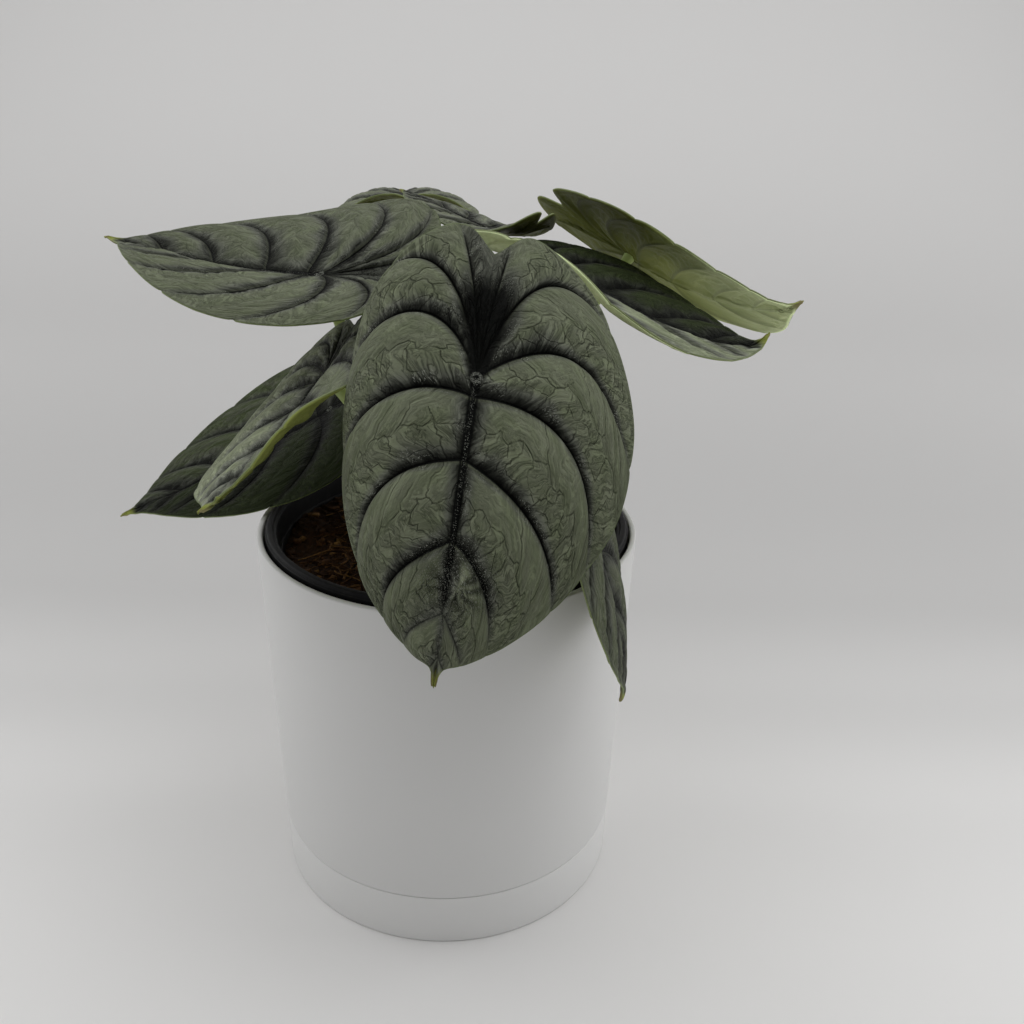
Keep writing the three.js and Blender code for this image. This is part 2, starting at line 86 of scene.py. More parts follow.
# Each blade's joint, heading and size, then its bends in degrees. Of a pair, the first is for side -1. base
# is where the petiole stands round the rhizome, and arrival the way it comes to the joint
FLAT_LEAF = dict(
    curl=(0, 0), curlAt=(0.4, 0.4), curlSpan=0.45, bend=0, tipBend=0, hook=0, sweep=0, twist=0, lobes=1)
LEAVES = {name: {**FLAT_LEAF, **leaf} for name, leaf in {
    "front": dict(
        joint=(15.5, -105.5, 260.5), heading=-100, dip=51, roll=-8, length=102.5, width=1.06,
        fold=(-10, 3.5), cup=(-26, -66), curl=(24, -4), bend=41, tipBend=19, lobeBend=27, hook=32,
        sweep=2.5, twist=10, base=270),
    "left": dict(
        joint=(-49, -2.5, 268), heading=155, dip=4.5, roll=-24.5, length=101.5, width=1.02,
        fold=(26, 11), cup=(-19, -20), curl=(-2, -7), bend=-16, tipBend=-3.5, lobeBend=0, hook=10,
        sweep=-2.5, twist=19.5, lobes=0.9, base=176, arrival=(-1.2, -6, 6.5)),
    "left_folded": dict(
        joint=(-43.9, -33.3, 238), heading=250.5, dip=21.5, roll=31, length=86.5, width=0.98,
        fold=(13.5, 5), cup=(-17, -17), curl=(75, 1.5), curlAt=(0.66, 0.4), curlSpan=0.2, bend=-8.5,
        tipBend=-4, lobeBend=-15, hook=10, sweep=-6.5, twist=-3.5, lobes=0.78, base=226),
    "left_low": dict(
        joint=(-58, 55, 193.5), heading=196, dip=30, roll=-2, length=106.5, width=1.01,
        fold=(7, 7), cup=(-29.5, 4), curl=(-5, 5), bend=-9.5, tipBend=-5, lobeBend=-5, hook=1,
        sweep=-3.5, lobes=0.8, base=144),
    "right": dict(
        joint=(38.5, -12.5, 276.5), heading=-32, dip=15.5, roll=-24, length=92, width=1.02,
        fold=(20.5, -14), cup=(-2.5, 11.5), curl=(-4.5, 80), curlAt=(0.4, 0.17), curlSpan=0.27,
        bend=12.5, tipBend=-51, lobeBend=24, hook=61, sweep=-31, twist=5.5, lobes=0.6, base=0),
    "right_back": dict(
        joint=(75, 41.5, 270), heading=-24, dip=26, roll=-43.5, length=83, width=1.01,
        fold=(1, -11), cup=(29, 3.5), curl=(-1, 11), bend=-4, lobeBend=8.5, hook=65, sweep=49.5,
        twist=4, base=40),
    "back": dict(
        joint=(-25.3, 104.4, 281), heading=97, dip=-1, roll=-1, length=69.5, width=1.02,
        fold=(5, 3.5), cup=(-31, -33), curl=(-7, 0), bend=12, tipBend=12, lobeBend=-60, sweep=-2,
        lobes=0.85, base=110, arrival=(-2, 0.5, 4)),
    "middle": dict(
        joint=(15.5, 25.5, 281.8), heading=145, dip=-13, roll=12, length=49, width=0.95,
        fold=(0, 5), cup=(-10, -10), lobeBend=-112, lobes=1.1, base=74),
    "right_low": dict(
        joint=(54, -67.5, 205), heading=-30, dip=71.5, roll=-21.5, length=81, width=1,
        fold=(5.5, 5), cup=(-12, -14.5), curl=(0, -3), bend=6.5, lobeBend=-5, hook=-32, base=315),
}.items()}

# Tones of each blade: how light and how green its upper face's halves are, the lightness partly painted
# shade, as where a half lies in another blade's shadow; the painted light on its lower face from the joint to
# the tip;
# and how much it glitters, in painted glints and lower roughness
TONES_AND_LIGHT = {
    "front": ((1.25, 1.25), (0.3, 0.3), (1, 1), 1), "left": ((1.25, 1.15), (0.3, 0.3), (1, 1), 0.6),
    "left_folded": ((1.4, 2.2), (0.25, 0.2), (1.8, 1.6), 0.8),
    "left_low": ((0.28, 0.7), (5, 0.7), (1, 1), 0.15), "right": ((0.32, 2.1), (5, 0.3), (5.4, 5.2), 0.1),
    "right_back": ((0.8, 0.8), (0.6, 0.6), (1.1, 6.4), 0), "back": ((1.4, 1.4), (0.2, 0.2), (0.9, 0.9), 0),
    "middle": ((1.5, 1.5), (0.1, 0.1), (0.7, 0.6), 0.2), "right_low": ((0.9, 0.9), (0.4, 0.4), (1, 1), 0.1),
}

# Petioles: foot ring round the rhizome, depth in the mix, splay, radii
FOOT_RING, FOOT_DEPTH, FOOT_SPLAY = 16.5, 15, 14
FOOT_RADIUS, JOINT_RADIUS = 3.7, 2.1
MIX_TOP, CHIP_HEIGHT = 152, 4


# Sizes and colours that a user would change

class PotSettings(bpy.types.PropertyGroup):
    glaze: bpy.props.FloatVectorProperty(
        name="Cover pot", description="Colour of the cover pot and its saucer",
        default=(0.75, 0.75, 0.742), size=3, subtype="COLOR")
    plastic: bpy.props.FloatVectorProperty(
        name="Nursery pot", description="Colour of the nursery pot's plastic",
        default=(0.006, 0.006, 0.0066), size=3, subtype="COLOR")
    sides: bpy.props.IntProperty(
        name="Sides", description="Facets round the turned pieces", default=144, min=48, max=256)


class LeafSettings(bpy.types.PropertyGroup):
    silver: bpy.props.FloatVectorProperty(
        name="Silver", description="Upper face between the ribs",
        default=(0.135, 0.149, 0.1), size=3, subtype="COLOR")
    rib_dark: bpy.props.FloatVectorProperty(
        name="Rib", description="Upper face along the ribs",
        default=(0.003, 0.0035, 0.003), size=3, subtype="COLOR")
    olive: bpy.props.FloatVectorProperty(
        name="Underside", description="Lower face of the blades",
        default=(0.1, 0.115, 0.038), size=3, subtype="COLOR")
    petiole: bpy.props.FloatVectorProperty(
        name="Petiole", description="Colour of the petioles",
        default=(0.42, 0.51, 0.16), size=3, subtype="COLOR")
    thickness: bpy.props.FloatProperty(
        name="Blade thickness", description="Thickness of a blade between its ribs",
        default=0.0008, min=0.0004, max=0.002, unit="LENGTH", precision=5)
    relief: bpy.props.FloatProperty(
        name="Net relief", description="Height of the swellings between the fine veins",
        default=0.00055, min=0, max=0.001, unit="LENGTH", precision=5)


class MixSettings(bpy.types.PropertyGroup):
    chips: bpy.props.IntProperty(
        name="Chips", description="Bark chips lying on the mix", default=520, min=0, max=900)
    fibres: bpy.props.IntProperty(
        name="Fibres", description="Loose fibres lying on the mix", default=640, min=0, max=900)


class StageSettings(bpy.types.PropertyGroup):
    floor: bpy.props.FloatVectorProperty(
        name="Floor", description="Colour of the floor and backdrop",
        default=(0.62, 0.615, 0.61), size=3, subtype="COLOR")
    lens: bpy.props.FloatProperty(
        name="Lens", description="Focal length on a 36 mm sensor, in millimetres",
        default=38.57, min=10, max=200)
    eye: bpy.props.FloatVectorProperty(
        name="Camera", description="Where the camera stands",
        default=(0.02726, -0.42518, 0.36116), size=3, subtype="XYZ", unit="LENGTH")
    pitch: bpy.props.FloatProperty(
        name="Pitch", description="How far the camera looks down",
        default=math.radians(24.405), unit="ROTATION")
    roll: bpy.props.FloatProperty(
        name="Roll", description="Turn of the camera about its view",
        default=math.radians(1.344), unit="ROTATION")


# Materials

class Value:
    """A number that varies over a surface; arithmetic on it adds Math nodes."""

    def __init__(self, finish, socket):
        self.finish, self.socket = finish, socket

    def math(self, operation, *values):
        return self.finish.node("Math", {"operation": operation}, dict(enumerate(values)))

    def __add__(self, other):
        return self.math("ADD", self, other)

    def __sub__(self, other):
        return self.math("SUBTRACT", self, other)

    def __rsub__(self, other):
        return self.math("SUBTRACT", other, self)

    def __mul__(self, other):
        return self.math("MULTIPLY", self, other)

    __radd__ = __add__
    __rmul__ = __mul__

    def size(self):
        return self.math("ABSOLUTE", self)

    def above(self, start, full):
        """0 below start and 1 from full on, with a smooth step between."""
        settings = {"interpolation_type": "SMOOTHSTEP"}
        return self.finish.node("MapRange", settings, {0: self, 1: start, 2: full})

    def below(self, full, none):
        return 1 - self.above(full, none)

    def between(self, start, full, fading, none):
        return self.above(start, full) * self.below(fading, none)


class Finish:
    """A material whose nodes are added one by one."""

    def __init__(self, name, roughness=0.5, specular=0.5):
        self.material = bpy.data.materials.new(name)
        self.material.use_nodes = True
        self.tree = self.material.node_tree
        self.shader = self.tree.nodes["Principled BSDF"]
        self.set("Roughness", roughness)
        self.set("Specular IOR Level", specular)

    def set(self, socket, value):
        self.connect(self.shader.inputs[socket], value)

    def connect(self, socket, value):
        if isinstance(value, Value):
            self.tree.links.new(value.socket, socket)
        elif socket.type == "RGBA":
            socket.default_value = (*value[:3], 1)
        else:
            socket.default_value = value

    def node(self, kind, settings=None, inputs=None, output=0):
        made = self.tree.nodes.new("ShaderNode" + kind)
        for name, setting in (settings or {}).items():
            if name == "stops":
                self.set_stops(made.color_ramp, setting)
            else:
                setattr(made, name, setting)
        for name, value in (inputs or {}).items():
            self.connect(made.inputs[name], value)
        return Value(self, made.outputs[output])

    def attributes(self, names):
        return [self.node("Attribute", {"attribute_name": name}, output="Fac") for name in names.split()]

    def blade_maps(self):
        """The map along and across the ribs, and the millimetres from the nearest small vein and rib."""
        grain, net = (self.node("UVMap", {"uv_map": name}) for name in ("veins", "reach"))
        return grain, self.part(net, 0).size(), self.part(net, 1)

    def place(self):
        return self.node("TexCoord", output="Object")

    def part(self, vector, axis):
        return self.node("SeparateXYZ", None, {"Vector": vector}, output=axis)

    def combined(self, *parts):
        return self.node("CombineXYZ", None, dict(enumerate(parts)))

    def noise(self, vector, scale=1.0, detail=3, roughness=0.55):
        return self.node("TexNoise", None, {
            "Vector": vector, "Scale": scale, "Detail": detail, "Roughness": roughness})

    def streaks(self, vector, stretch, detail=3):
        """Noise drawn out along the axes of the smaller numbers."""
        return self.noise(self.node("Mapping", None, {"Vector": vector, "Scale": stretch}), detail=detail)

    def mix(self, factor, first, second, blend="MIX"):
        settings = {"data_type": "RGBA", "blend_type": blend}
        return self.node("Mix", settings, {0: factor, 6: first, 7: second}, output=2)

    def times(self, colour, factor):
        return self.mix(1.0, colour, self.combined(factor, factor, factor), "MULTIPLY")

    def set_stops(self, ramp, stops):
        for _ in stops[2:]:
            ramp.elements.new(0.5)
        ramp.interpolation = "EASE"
        for element, (place, colour) in zip(ramp.elements, stops):
            element.position, element.color = place, (*colour, 1)

    def ramp(self, value, *stops):
        """A colour graded through stops, each a place and a colour."""
        return self.node("ValToRGB", {"stops": stops}, {0: value})

    def bump(self, height_mm):
        normal = self.node("Bump", None, {"Strength": 1, "Distance": MM, "Height": height_mm})
        self.set("Normal", normal)


def shade(colour, *factors):
    """The colour times one factor, or times one for each channel."""
    return tuple(channel * factor for channel, factor in zip(colour, factors * 3))


def blade_top(settings):
    """Silver between the ribs, near black along them with painted shade spread beside them, cut by fine vein
    lines, wrinkled with painted light and shade, and sparkling with painted glints.
    """
    top = Finish("blade_top", specular=0.06)
    silver, black = settings.silver, settings.rib_dark
    grain, vein, from_rib = top.blade_maps()
    along, over = top.part(grain, 0), top.part(grain, 1)
    dark, rib, fade, margin, midrib, tip = top.attributes("dark rib net margin midrib tip")
    joint, pinch, pleat, folded = top.attributes("joint pinch pleat lower")
    green, tone, glitter = top.attributes("green tone glitter")

    # Lines of the small veins with their lips, which carry a faint painted highlight, of the ribs with a
    # painted highlight along one side, and of the midrib
    line = vein.below(0.02, 0.27) * fade * top.noise(grain, 0.2, 1).above(0.3, 0.55)
    lip = vein.between(0.2, 0.45, 0.6, 1.1) * fade
    rib_line = from_rib.size().below(0.12, 0.5) * rib
    rib_highlight = from_rib.between(0.3, 0.6, 0.9, 1.9) * rib
    strip = midrib.below(0.45, 0.95)
    groove = midrib.between(0.75, 1.1, 1.35, 1.9)

    # Wrinkles: folds over one side of each panel, contours round the small veins on its other side
    mottle = top.noise(grain, 0.14, 4)
    bent = along + top.noise(grain, 0.16, 1) * 7
    folds = top.noise(top.combined(bent * 0.5, over * 0.1), detail=4, roughness=0.62)
    contours = top.noise(top.combined(vein * 0.8, along * 0.14, over * 0.14), detail=2, roughness=0.5)
    wrinkles = folds * (0.3 + folded * 0.7) + contours * (0.7 - folded * 0.7)
    # Painted light and shade that follow the wrinkles, and painted shade in their creases
    wrinkle_shading = wrinkles - 0.5
    creases = wrinkle_shading.size().below(0.0, 0.04) * (0.25 + folded * 0.75)
    brushed = top.noise(top.combined(along * 0.35, over * 1.6))
    striae = top.noise(top.combined(along * 1.3, over * 0.2), detail=2)
    beside = from_rib.size().below(1.2, 3.2) * rib

    # Painted glints: specks of light painted beside the ribs, on the midrib, round the pinched spot and at
    # the joint's scar
    grit = top.noise(grain, 2.6, 1)
    sparkle = grit.above(0.62, 0.66) * glitter
    scar = joint.between(0.7, 1.1, 1.5, 2.1) * grit.above(0.4, 0.6)
    beside_ribs = top.noise(grain, 0.11, 1).above(0.5, 0.62) * dark.between(0.12, 0.3, 0.6, 0.85)
    painted_glints = (beside_ribs + strip * 0.9 + pinch * 2) * sparkle + scar * 0.7

    lit = top.mix((green * mottle.above(0.3, 0.65)).above(0, 1), silver, shade(silver, 0.72, 0.88, 0.5))
    lit = top.mix(dark.above(0.02, 0.35) * 0.7, lit, shade([silver[1]] * 3, 0.93, 0.97, 0.85))
    # Darkness graded to near black: the veins' own dark green, and painted shade beside the ribs, in the
    # sinus and over the wrinkles
    dark_and_shade = (dark + (mottle - 0.5) * 0.35 + wrinkle_shading * (0.3 + dark * 0.5)).above(-0.05, 1.05)
    depth = top.ramp(
        dark_and_shade, (0.0, (1, 1, 1)), (0.2, (0.76, 0.76, 0.75)), (0.45, (0.4, 0.4, 0.4)),
        (0.7, (0.15, 0.15, 0.15)), (1.0, (0.018, 0.019, 0.018)))
    colour = top.mix(1.0, lit, depth, "MULTIPLY")
    # Painted highlight along one side of each rib
    colour = top.mix(rib_highlight * 0.35 * (1 - tip), colour, shade(silver, 1.1))
    for amount in (rib_line, groove * 0.9, strip * (1 - striae.above(0.45, 0.75) * 0.4)):
        colour = top.mix(amount, colour, black)
    # Vein lines and brushed streaks darken; painted shade in the creases, over the wrinkles and in the
    # pleats; painted highlight on the pinched knob and the veins' lips; each half's tone with its painted
    # shade
    lines_and_shading = (1 - line * 0.58) * (1 - creases * fade * 0.5) * (1 - wrinkle_shading * 1.5)
    lines_and_shading = lines_and_shading * (1 - pleat * 0.72) * (1 + pinch.above(0.5, 1) * (1 - pleat) * 0.5)
    lines_and_shading = lines_and_shading * (1 - brushed.above(0.45, 0.75) * 0.16) * (1 + lip * 0.16) * tone
    colour = top.times(colour, lines_and_shading)
    # Painted glints in light grey
    colour = top.mix(painted_glints * 0.85, colour, (0.42, 0.44, 0.38))
    colour = top.mix(margin.below(0.25, 0.75) * 0.55, colour, (0.13, 0.17, 0.07))
    top.set("Base Color", top.mix(tip, colour, (0.3, 0.34, 0.07)))
    top.set("Roughness", 0.47 - sparkle * 0.14 + mottle * 0.08)
    relief = (wrinkles * (1 - beside * 0.6) * 2.1 + striae * beside * 0.6) * (0.8 + pinch)
    relief = relief + top.noise(grain, 2.2) * 0.2 - line * 0.26 - creases * 0.12 + lip * 0.08
    top.bump(relief - rib_line * 0.4 - groove * 0.15 + painted_glints * 0.1)


def blade_underside(settings):
    """Olive, with darker curved ribs partly spread as painted shade, a faint net and wrinkles, and painted
    light graded from the joint to the tip.
    """
    under = Finish("blade_underside", specular=0.15)
    olive = settings.olive
    grain, vein, from_rib = under.blade_maps()
    dark, rib, net, margin, midrib, tip, glow = under.attributes("dark rib net margin midrib tip glow")
    mottle = under.noise(grain, 0.12).above(0.3, 0.7)
    line = vein.below(0.1, 0.5) * net
    core = from_rib.size().below(0.2, 0.9) * rib + midrib.below(0.7, 1.3) * 0.5
    wrinkles = under.streaks(grain, (0.5, 1.1, 1))
    colour = under.mix(mottle, olive, shade(olive, 1.25, 1.2, 1.35))
    # Darker along the ribs and behind the joint, the spread partly painted shade; darker rib cores and net
    # lines
    for amount, darker in ((dark * 0.3, 0.55), (core * 0.75, 0.4), (line * 0.3, 0.45)):
        colour = under.mix(amount, colour, shade(olive, darker))
    colour = under.mix(margin.below(0.3, 1.4) * 0.5, colour, (0.26, 0.3, 0.12))
    # Painted light on the lower face, graded from the joint to the tip: lighter and paler where more light
    # falls on and through it
    hue = under.mix(glow.above(1, 5), (1, 1, 0.6), (1, 1, 1.5))
    colour = under.times(under.mix(1.0, colour, hue, "MULTIPLY"), glow)
    under.set("Base Color", under.mix(tip, colour, (0.3, 0.27, 0.12)))
    under.set("Roughness", 0.48 + mottle * 0.1)
    under.bump(wrinkles * 0.22 + under.noise(grain, 1.9, 2) * 0.06 - line * 0.1)


def blade_margin():
    """The thin cut edge, paler than both faces."""
    margin = Finish("blade_margin")
    tint = margin.noise(margin.node("UVMap", {"uv_map": "veins"}), 0.3, 2)
    colour = margin.mix(tint, (0.13, 0.165, 0.06), (0.24, 0.29, 0.1))
    margin.set("Base Color", margin.mix(*margin.attributes("tip"), colour, (0.34, 0.38, 0.08)))


def petiole_skin(settings):
    """Pale green, faintly streaked along its length."""
    skin = Finish("petiole_skin", specular=0.4)
    base = settings.petiole
    streaks = skin.streaks(skin.place(), (900, 900, 60))
    blotches = skin.noise(skin.place(), 90, 2).above(0.35, 0.65)
    colour = skin.mix(streaks, shade(base, 0.72), shade(base, 1.15))
    skin.set("Base Color", skin.mix(blotches * 0.35, colour, shade(base, 0.75, 0.85, 1)))
    skin.set("Roughness", 0.42 + streaks * 0.14)
    skin.bump(streaks * 0.06)


def pot_glaze(settings):
    """Satin white, with the faintest ripple; the saucer below the seam is painted a touch lighter, as painted
    light from the bright floor.
    """
    glaze = Finish("pot_glaze", specular=0.4)
    white = settings.glaze
    cloud = glaze.noise(glaze.place(), 26, 2)
    in_saucer = glaze.part(glaze.place(), 2).below(SAUCER_TOP * MM, (SAUCER_TOP + 0.2) * MM)
    colour = glaze.mix(cloud, shade(white, 0.985), white)
    # Painted light: the saucer below the seam, which faces the bright floor, is painted 6% lighter
    glaze.set("Base Color", glaze.mix(in_saucer, colour, shade(white, 1.06)))
    glaze.set("Roughness", 0.42 + cloud * 0.08)
    glaze.bump(glaze.noise(glaze.place(), 900, 2) * 0.012 + cloud * 0.05)
    return glaze.material


def nursery_plastic(settings):
    """Black moulded plastic with dust and scuffs."""
    plastic = Finish("nursery_plastic", specular=0.14)
    scuff = plastic.streaks(plastic.place(), (160, 160, 420), 5)
    dust = plastic.noise(plastic.place(), 240, 5).above(0.5, 0.75)
    plastic.set("Base Color", plastic.mix(dust * 0.3, settings.plastic, (0.03, 0.028, 0.025)))
    plastic.set("Roughness", 0.42 + scuff * 0.22)
    plastic.bump(scuff * 0.05)
    return plastic.material


def mix_material():
    """Brown coir and bark, each chip a little different."""
    mix = Finish("potting_mix", roughness=0.9, specular=0.25)
    bark = mix.ramp(
        *mix.attributes("chip"), (0.0, (0.01, 0.004, 0.0015)), (0.35, (0.047, 0.018, 0.005)),
        (0.75, (0.11, 0.045, 0.012)), (1.0, (0.25, 0.13, 0.038)))
    streaks = mix.noise(mix.place(), 700, 4)
    mix.set("Base Color", mix.mix(streaks.above(0.35, 0.65) * 0.6, bark, (0.016, 0.007, 0.003)))
    mix.bump(streaks * 0.35)
    return mix.material


def corm_skin():
    """Dry brown rings."""
    skin = Finish("corm_skin", roughness=0.85, specular=0.25)
    rings = skin.streaks(skin.place(), (120, 120, 900), 4)
    skin.set("Base Color", skin.mix(rings, (0.06, 0.035, 0.018), (0.2, 0.13, 0.07)))
    skin.bump(rings * 0.4)
    return skin.material


def paper(settings):
    """Plain matte sweep, its colour graded from front to back as painted light and shade."""
    matte = Finish("paper", roughness=0.9, specular=0.15)
    back = (matte.part(matte.place(), 1) + 0.3) * 0.5
    # Painted light and shade: lighter at the front and round the pot, where its shadow would fall, darker in
    # a band of floor behind it, and lighter again up the backdrop
    stops = (0.11, 1.36), (0.16, 1.24), (0.21, 1.03), (0.27, 0.86), (0.35, 0.83), (0.58, 0.92), (0.9, 1.22)
    matte.set("Base Color", matte.ramp(back, *((place, shade(settings.floor, by)) for place, by in stops)))
    return matte.material


# Shared modelling steps

def begin():
    if bpy.context.object and bpy.context.object.mode != "OBJECT":
        bpy.ops.object.mode_set(mode="OBJECT")
    bpy.ops.object.select_all(action="DESELECT")


def pick(*pieces):
    """Selects these pieces alone, with the last one active."""
    begin()
    for piece in pieces:
        piece.select_set(True)
    bpy.context.view_layer.objects.active = pieces[-1]


def keep(piece, name, node, slot, *materials):
    """Names a finished piece, puts it on the part's body in place of its solid and gives it its materials."""
    piece.name = piece.data.name = name
    for material in materials:
        piece.data.materials.append(material)
    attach(piece, "root")
    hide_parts(node)


def apply_modifiers(piece):
    bpy.context.view_layer.objects.active = piece
    for modifier in list(piece.modifiers):
        bpy.ops.object.modifier_apply(modifier=modifier.name)


def smooth(piece, angle=40):
    pick(piece)
    bpy.ops.object.shade_smooth_by_angle(angle=math.radians(angle))


def settle(piece, threshold=1e-6, closed=True):
    """Merges doubles and turns a closed piece's faces outwards."""
    bpy.context.view_layer.objects.active = piece
    bpy.ops.object.mode_set(mode="EDIT")
    bpy.ops.mesh.select_all(action="SELECT")
    bpy.ops.mesh.remove_doubles(threshold=threshold)
    if closed:
        bpy.ops.mesh.normals_make_consistent(inside=False)
    bpy.ops.object.mode_set(mode="OBJECT")


def set_values(mesh, name, values):
    mesh.attributes.new(name, "FLOAT", "POINT").data.foreach_set("value", values)


def filleted(corners, steps=5):
    """An outline of (radius, height, fillet) corners with each corner rounded off."""
    points = [Vector(corner[:2]) for corner in corners]
    outline = []
    for i, corner in enumerate(corners):
        fillet = corner[2] if len(corner) > 2 else 0
        if not fillet:
            outline.append(points[i])
            continue
        before = (points[i - 1] - points[i]).normalized() * fillet
        after = (points[(i + 1) % len(points)] - points[i]).normalized() * fillet
        for k in range(steps + 1):
            t = k / steps
            outline.append(points[i] + before * (1 - t) ** 2 + after * t ** 2)
    return [(point.x, point.y) for point in outline]


def turned(corners, sides, closed=True):
    """A turned piece, drawn up ring by ring from its outline in millimetres."""
    outline = filleted(corners)
    begin()
    radius, height = outline[0]
    bpy.ops.mesh.primitive_circle_add(
        vertices=sides, radius=radius * MM, location=(0, 0, height * MM), fill_type="NOTHING")
    piece = bpy.context.object
    bpy.ops.object.transform_apply(location=True)
    bpy.ops.object.mode_set(mode="EDIT")
    if not closed:
        bpy.ops.mesh.edge_face_add()
    for radius_after, height_after in outline[1:] + outline[:1] * closed:
        rise = (height_after - height) * MM
        bpy.ops.mesh.extrude_edges_move(TRANSFORM_OT_translate={"value": (0, 0, rise)})
        grow = radius_after / radius
        bpy.ops.transform.resize(value=(grow, grow, 1), center_override=(0, 0, height_after * MM))
        radius, height = radius_after, height_after
    if not closed:
        bpy.ops.mesh.edge_face_add()
    bpy.ops.object.mode_set(mode="OBJECT")
    settle(piece)
    return piece


# Pots

WALL_FOOT, RIM_RADIUS, RIM_HEIGHT = 75, 80, 163
SAUCER_TOP = 24.7


def wall_radius(height):
    return WALL_FOOT + (RIM_RADIUS - WALL_FOOT) * height / RIM_HEIGHT


class ALOCASIA_OT_saucer(bpy.types.Operator):
    """Builds the saucer, whose wall is flush with the pot's"""
    bl_idname = "alocasia.saucer"
    bl_label = "Saucer"

    def execute(self, context):
        settings = context.scene.alocasia_pots
        top, wall, floor = SAUCER_TOP, 3.2, 4
        saucer = turned([
            (0.01, 0), (wall_radius(0), 0, 1.3), (wall_radius(top), top, 0.7),
            (wall_radius(top) - wall, top, 0.5), (wall_radius(floor) - wall, floor, 1.5), (0.01, floor),
        ], settings.sides, closed=False)
        smooth(saucer)
        keep(saucer, "saucer_glazed", "saucer", "cover", pot_glaze(settings))
        return {"FINISHED"}


class ALOCASIA_OT_cover_pot(bpy.types.Operator):
    """Builds the white cover pot with its thin rounded lip"""
    bl_idname = "alocasia.cover_pot"
    bl_label = "Cover pot"

    def execute(self, context):
        settings = context.scene.alocasia_pots
        bottom, shoulder, floor, wall, step, drain, lip = 4.3, 25, 8.3, 2.4, 3.6, 7, 1.15
        pot = turned([
            (drain, bottom), (wall_radius(bottom) - step, bottom, 1),
            (wall_radius(shoulder) - step, shoulder, 0.6), (wall_radius(shoulder), shoulder, 0.45),
            (RIM_RADIUS, RIM_HEIGHT, lip), (RIM_RADIUS - wall, RIM_HEIGHT, lip),
            (wall_radius(floor) - step - wall, floor, 3), (drain, floor),
        ], settings.sides)
        smooth(pot)
        keep(pot, "cover_pot_glazed", "cover_pot", "cover", bpy.data.materials["pot_glaze"])
        return {"FINISHED"}


class ALOCASIA_OT_nursery_pot(bpy.types.Operator):
    """Builds the black nursery pot with its double lip and drain holes"""
    bl_idname = "alocasia.nursery_pot"
    bl_label = "Nursery pot"

    def execute(self, context):
        settings = context.scene.alocasia_pots
        floor, wall, rim, lip_bottom, inner_top = 9.8, 1.2, 165.8, 154.8, 71.6
        holes, hole_radius, hole_ring = 8, 5, 44
        pot = turned([
            (0.01, floor - wall), (56, floor - wall, 1.5), (inner_top + wall - 2.9, lip_bottom, 0.6),
            (76.5, lip_bottom, 0.9), (76.6, rim - 1.7, 0.5), (75.9, rim - 1.5, 0.3), (75.7, rim, 1.0),
            (73.3, rim, 0.9), (73.1, rim - 1.9, 0.4), (inner_top + 0.3, rim - 2.1, 0.9),
            (inner_top - 0.4, rim - 6.5, 0.5), (54.8, floor, 1.5), (0.01, floor),
        ], settings.sides, closed=False)
        for i in range(holes):
            angle = i * 2 * math.pi / holes
            begin()
            bpy.ops.mesh.primitive_cylinder_add(
                vertices=24, radius=hole_radius * MM, depth=8 * MM,
                location=(hole_ring * MM * math.cos(angle), hole_ring * MM * math.sin(angle), floor * MM))
            drill = bpy.context.object
            cut = pot.modifiers.new("drain", "BOOLEAN")
            cut.operation, cut.object, cut.solver = "DIFFERENCE", drill, "EXACT"
            apply_modifiers(pot)
            bpy.data.objects.remove(drill)
        smooth(pot)
        keep(pot, "nursery_pot_moulded", "nursery_pot", "nursery", nursery_plastic(settings))
        return {"FINISHED"}


# Potting mix and rhizome

def mix_height(x, y):
    """Low mounds in the mix, in millimetres."""
    return 1.6 * np.sin(x / 11 + 0.6) * np.sin(y / 13 - 0.4) + 0.8 * np.sin(x / 5 + y / 7)


def shape_chip(seed, stretch):
    """One bark chip: a cube, cut finer, roughened and rounded off."""
    begin()
    bpy.ops.mesh.primitive_cube_add(size=1)
    chip = bpy.context.object
    bpy.ops.object.mode_set(mode="EDIT")
    bpy.ops.mesh.subdivide(number_cuts=1)
    bpy.ops.transform.vertex_random(offset=0.16, seed=seed)
    bpy.ops.transform.resize(value=stretch, center_override=(0, 0, 0))
    bpy.ops.object.mode_set(mode="OBJECT")
    chip.modifiers.new("soften", "BEVEL").width = 0.06
    chip.modifiers["soften"].limit_method = "ANGLE"
    apply_modifiers(chip)
    return chip


def shape_fibre(bends):
    """One coir fibre: a thin, bent, tapering strand of unit length."""
    begin()
    bpy.ops.curve.primitive_bezier_curve_add()
    fibre = bpy.context.object
    spline = fibre.data.splines[0]
    for point, place, radius in zip(spline.bezier_points, ((-0.5, 0, 0), (0.5, 0, 0)), (1, 0.4)):
        point.co, point.radius = place, radius
        point.handle_left_type = point.handle_right_type = "FREE"
        point.handle_left = Vector(place) - Vector((0.3, *bends))
        point.handle_right = Vector(place) + Vector((0.3, *bends))
    spline.resolution_u = 5
    fibre.data.bevel_depth = 0.03
    fibre.data.bevel_resolution = 0
    fibre.data.use_fill_caps = True
    bpy.ops.object.convert(target="MESH")
    return bpy.context.object


def mesh_arrays(piece):
    corners = np.empty(len(piece.data.vertices) * 3)
    piece.data.vertices.foreach_get("co", corners)
    return corners.reshape(-1, 3), [tuple(face.vertices) for face in piece.data.polygons]


PLUG_RADIUS, MOUND = 69.4, 0.8
PLUG_WAVES = ((0.7, 0.9, 1.1, 1), (0.5, 1.7, 1.4, 2.2), (0.35, 2.9, 2.6, 0.4))  # height, pitches, phase
CHIP_SHAPES = ((1.5, 1.0, 0.5), (1.2, 0.8, 0.75), (2.0, 0.7, 0.35), (1.0, 0.9, 0.5))
FIBRE_BENDS = ((0.2, 0.06), (-0.28, 0.1), (0.1, -0.05), (0.34, 0.14))


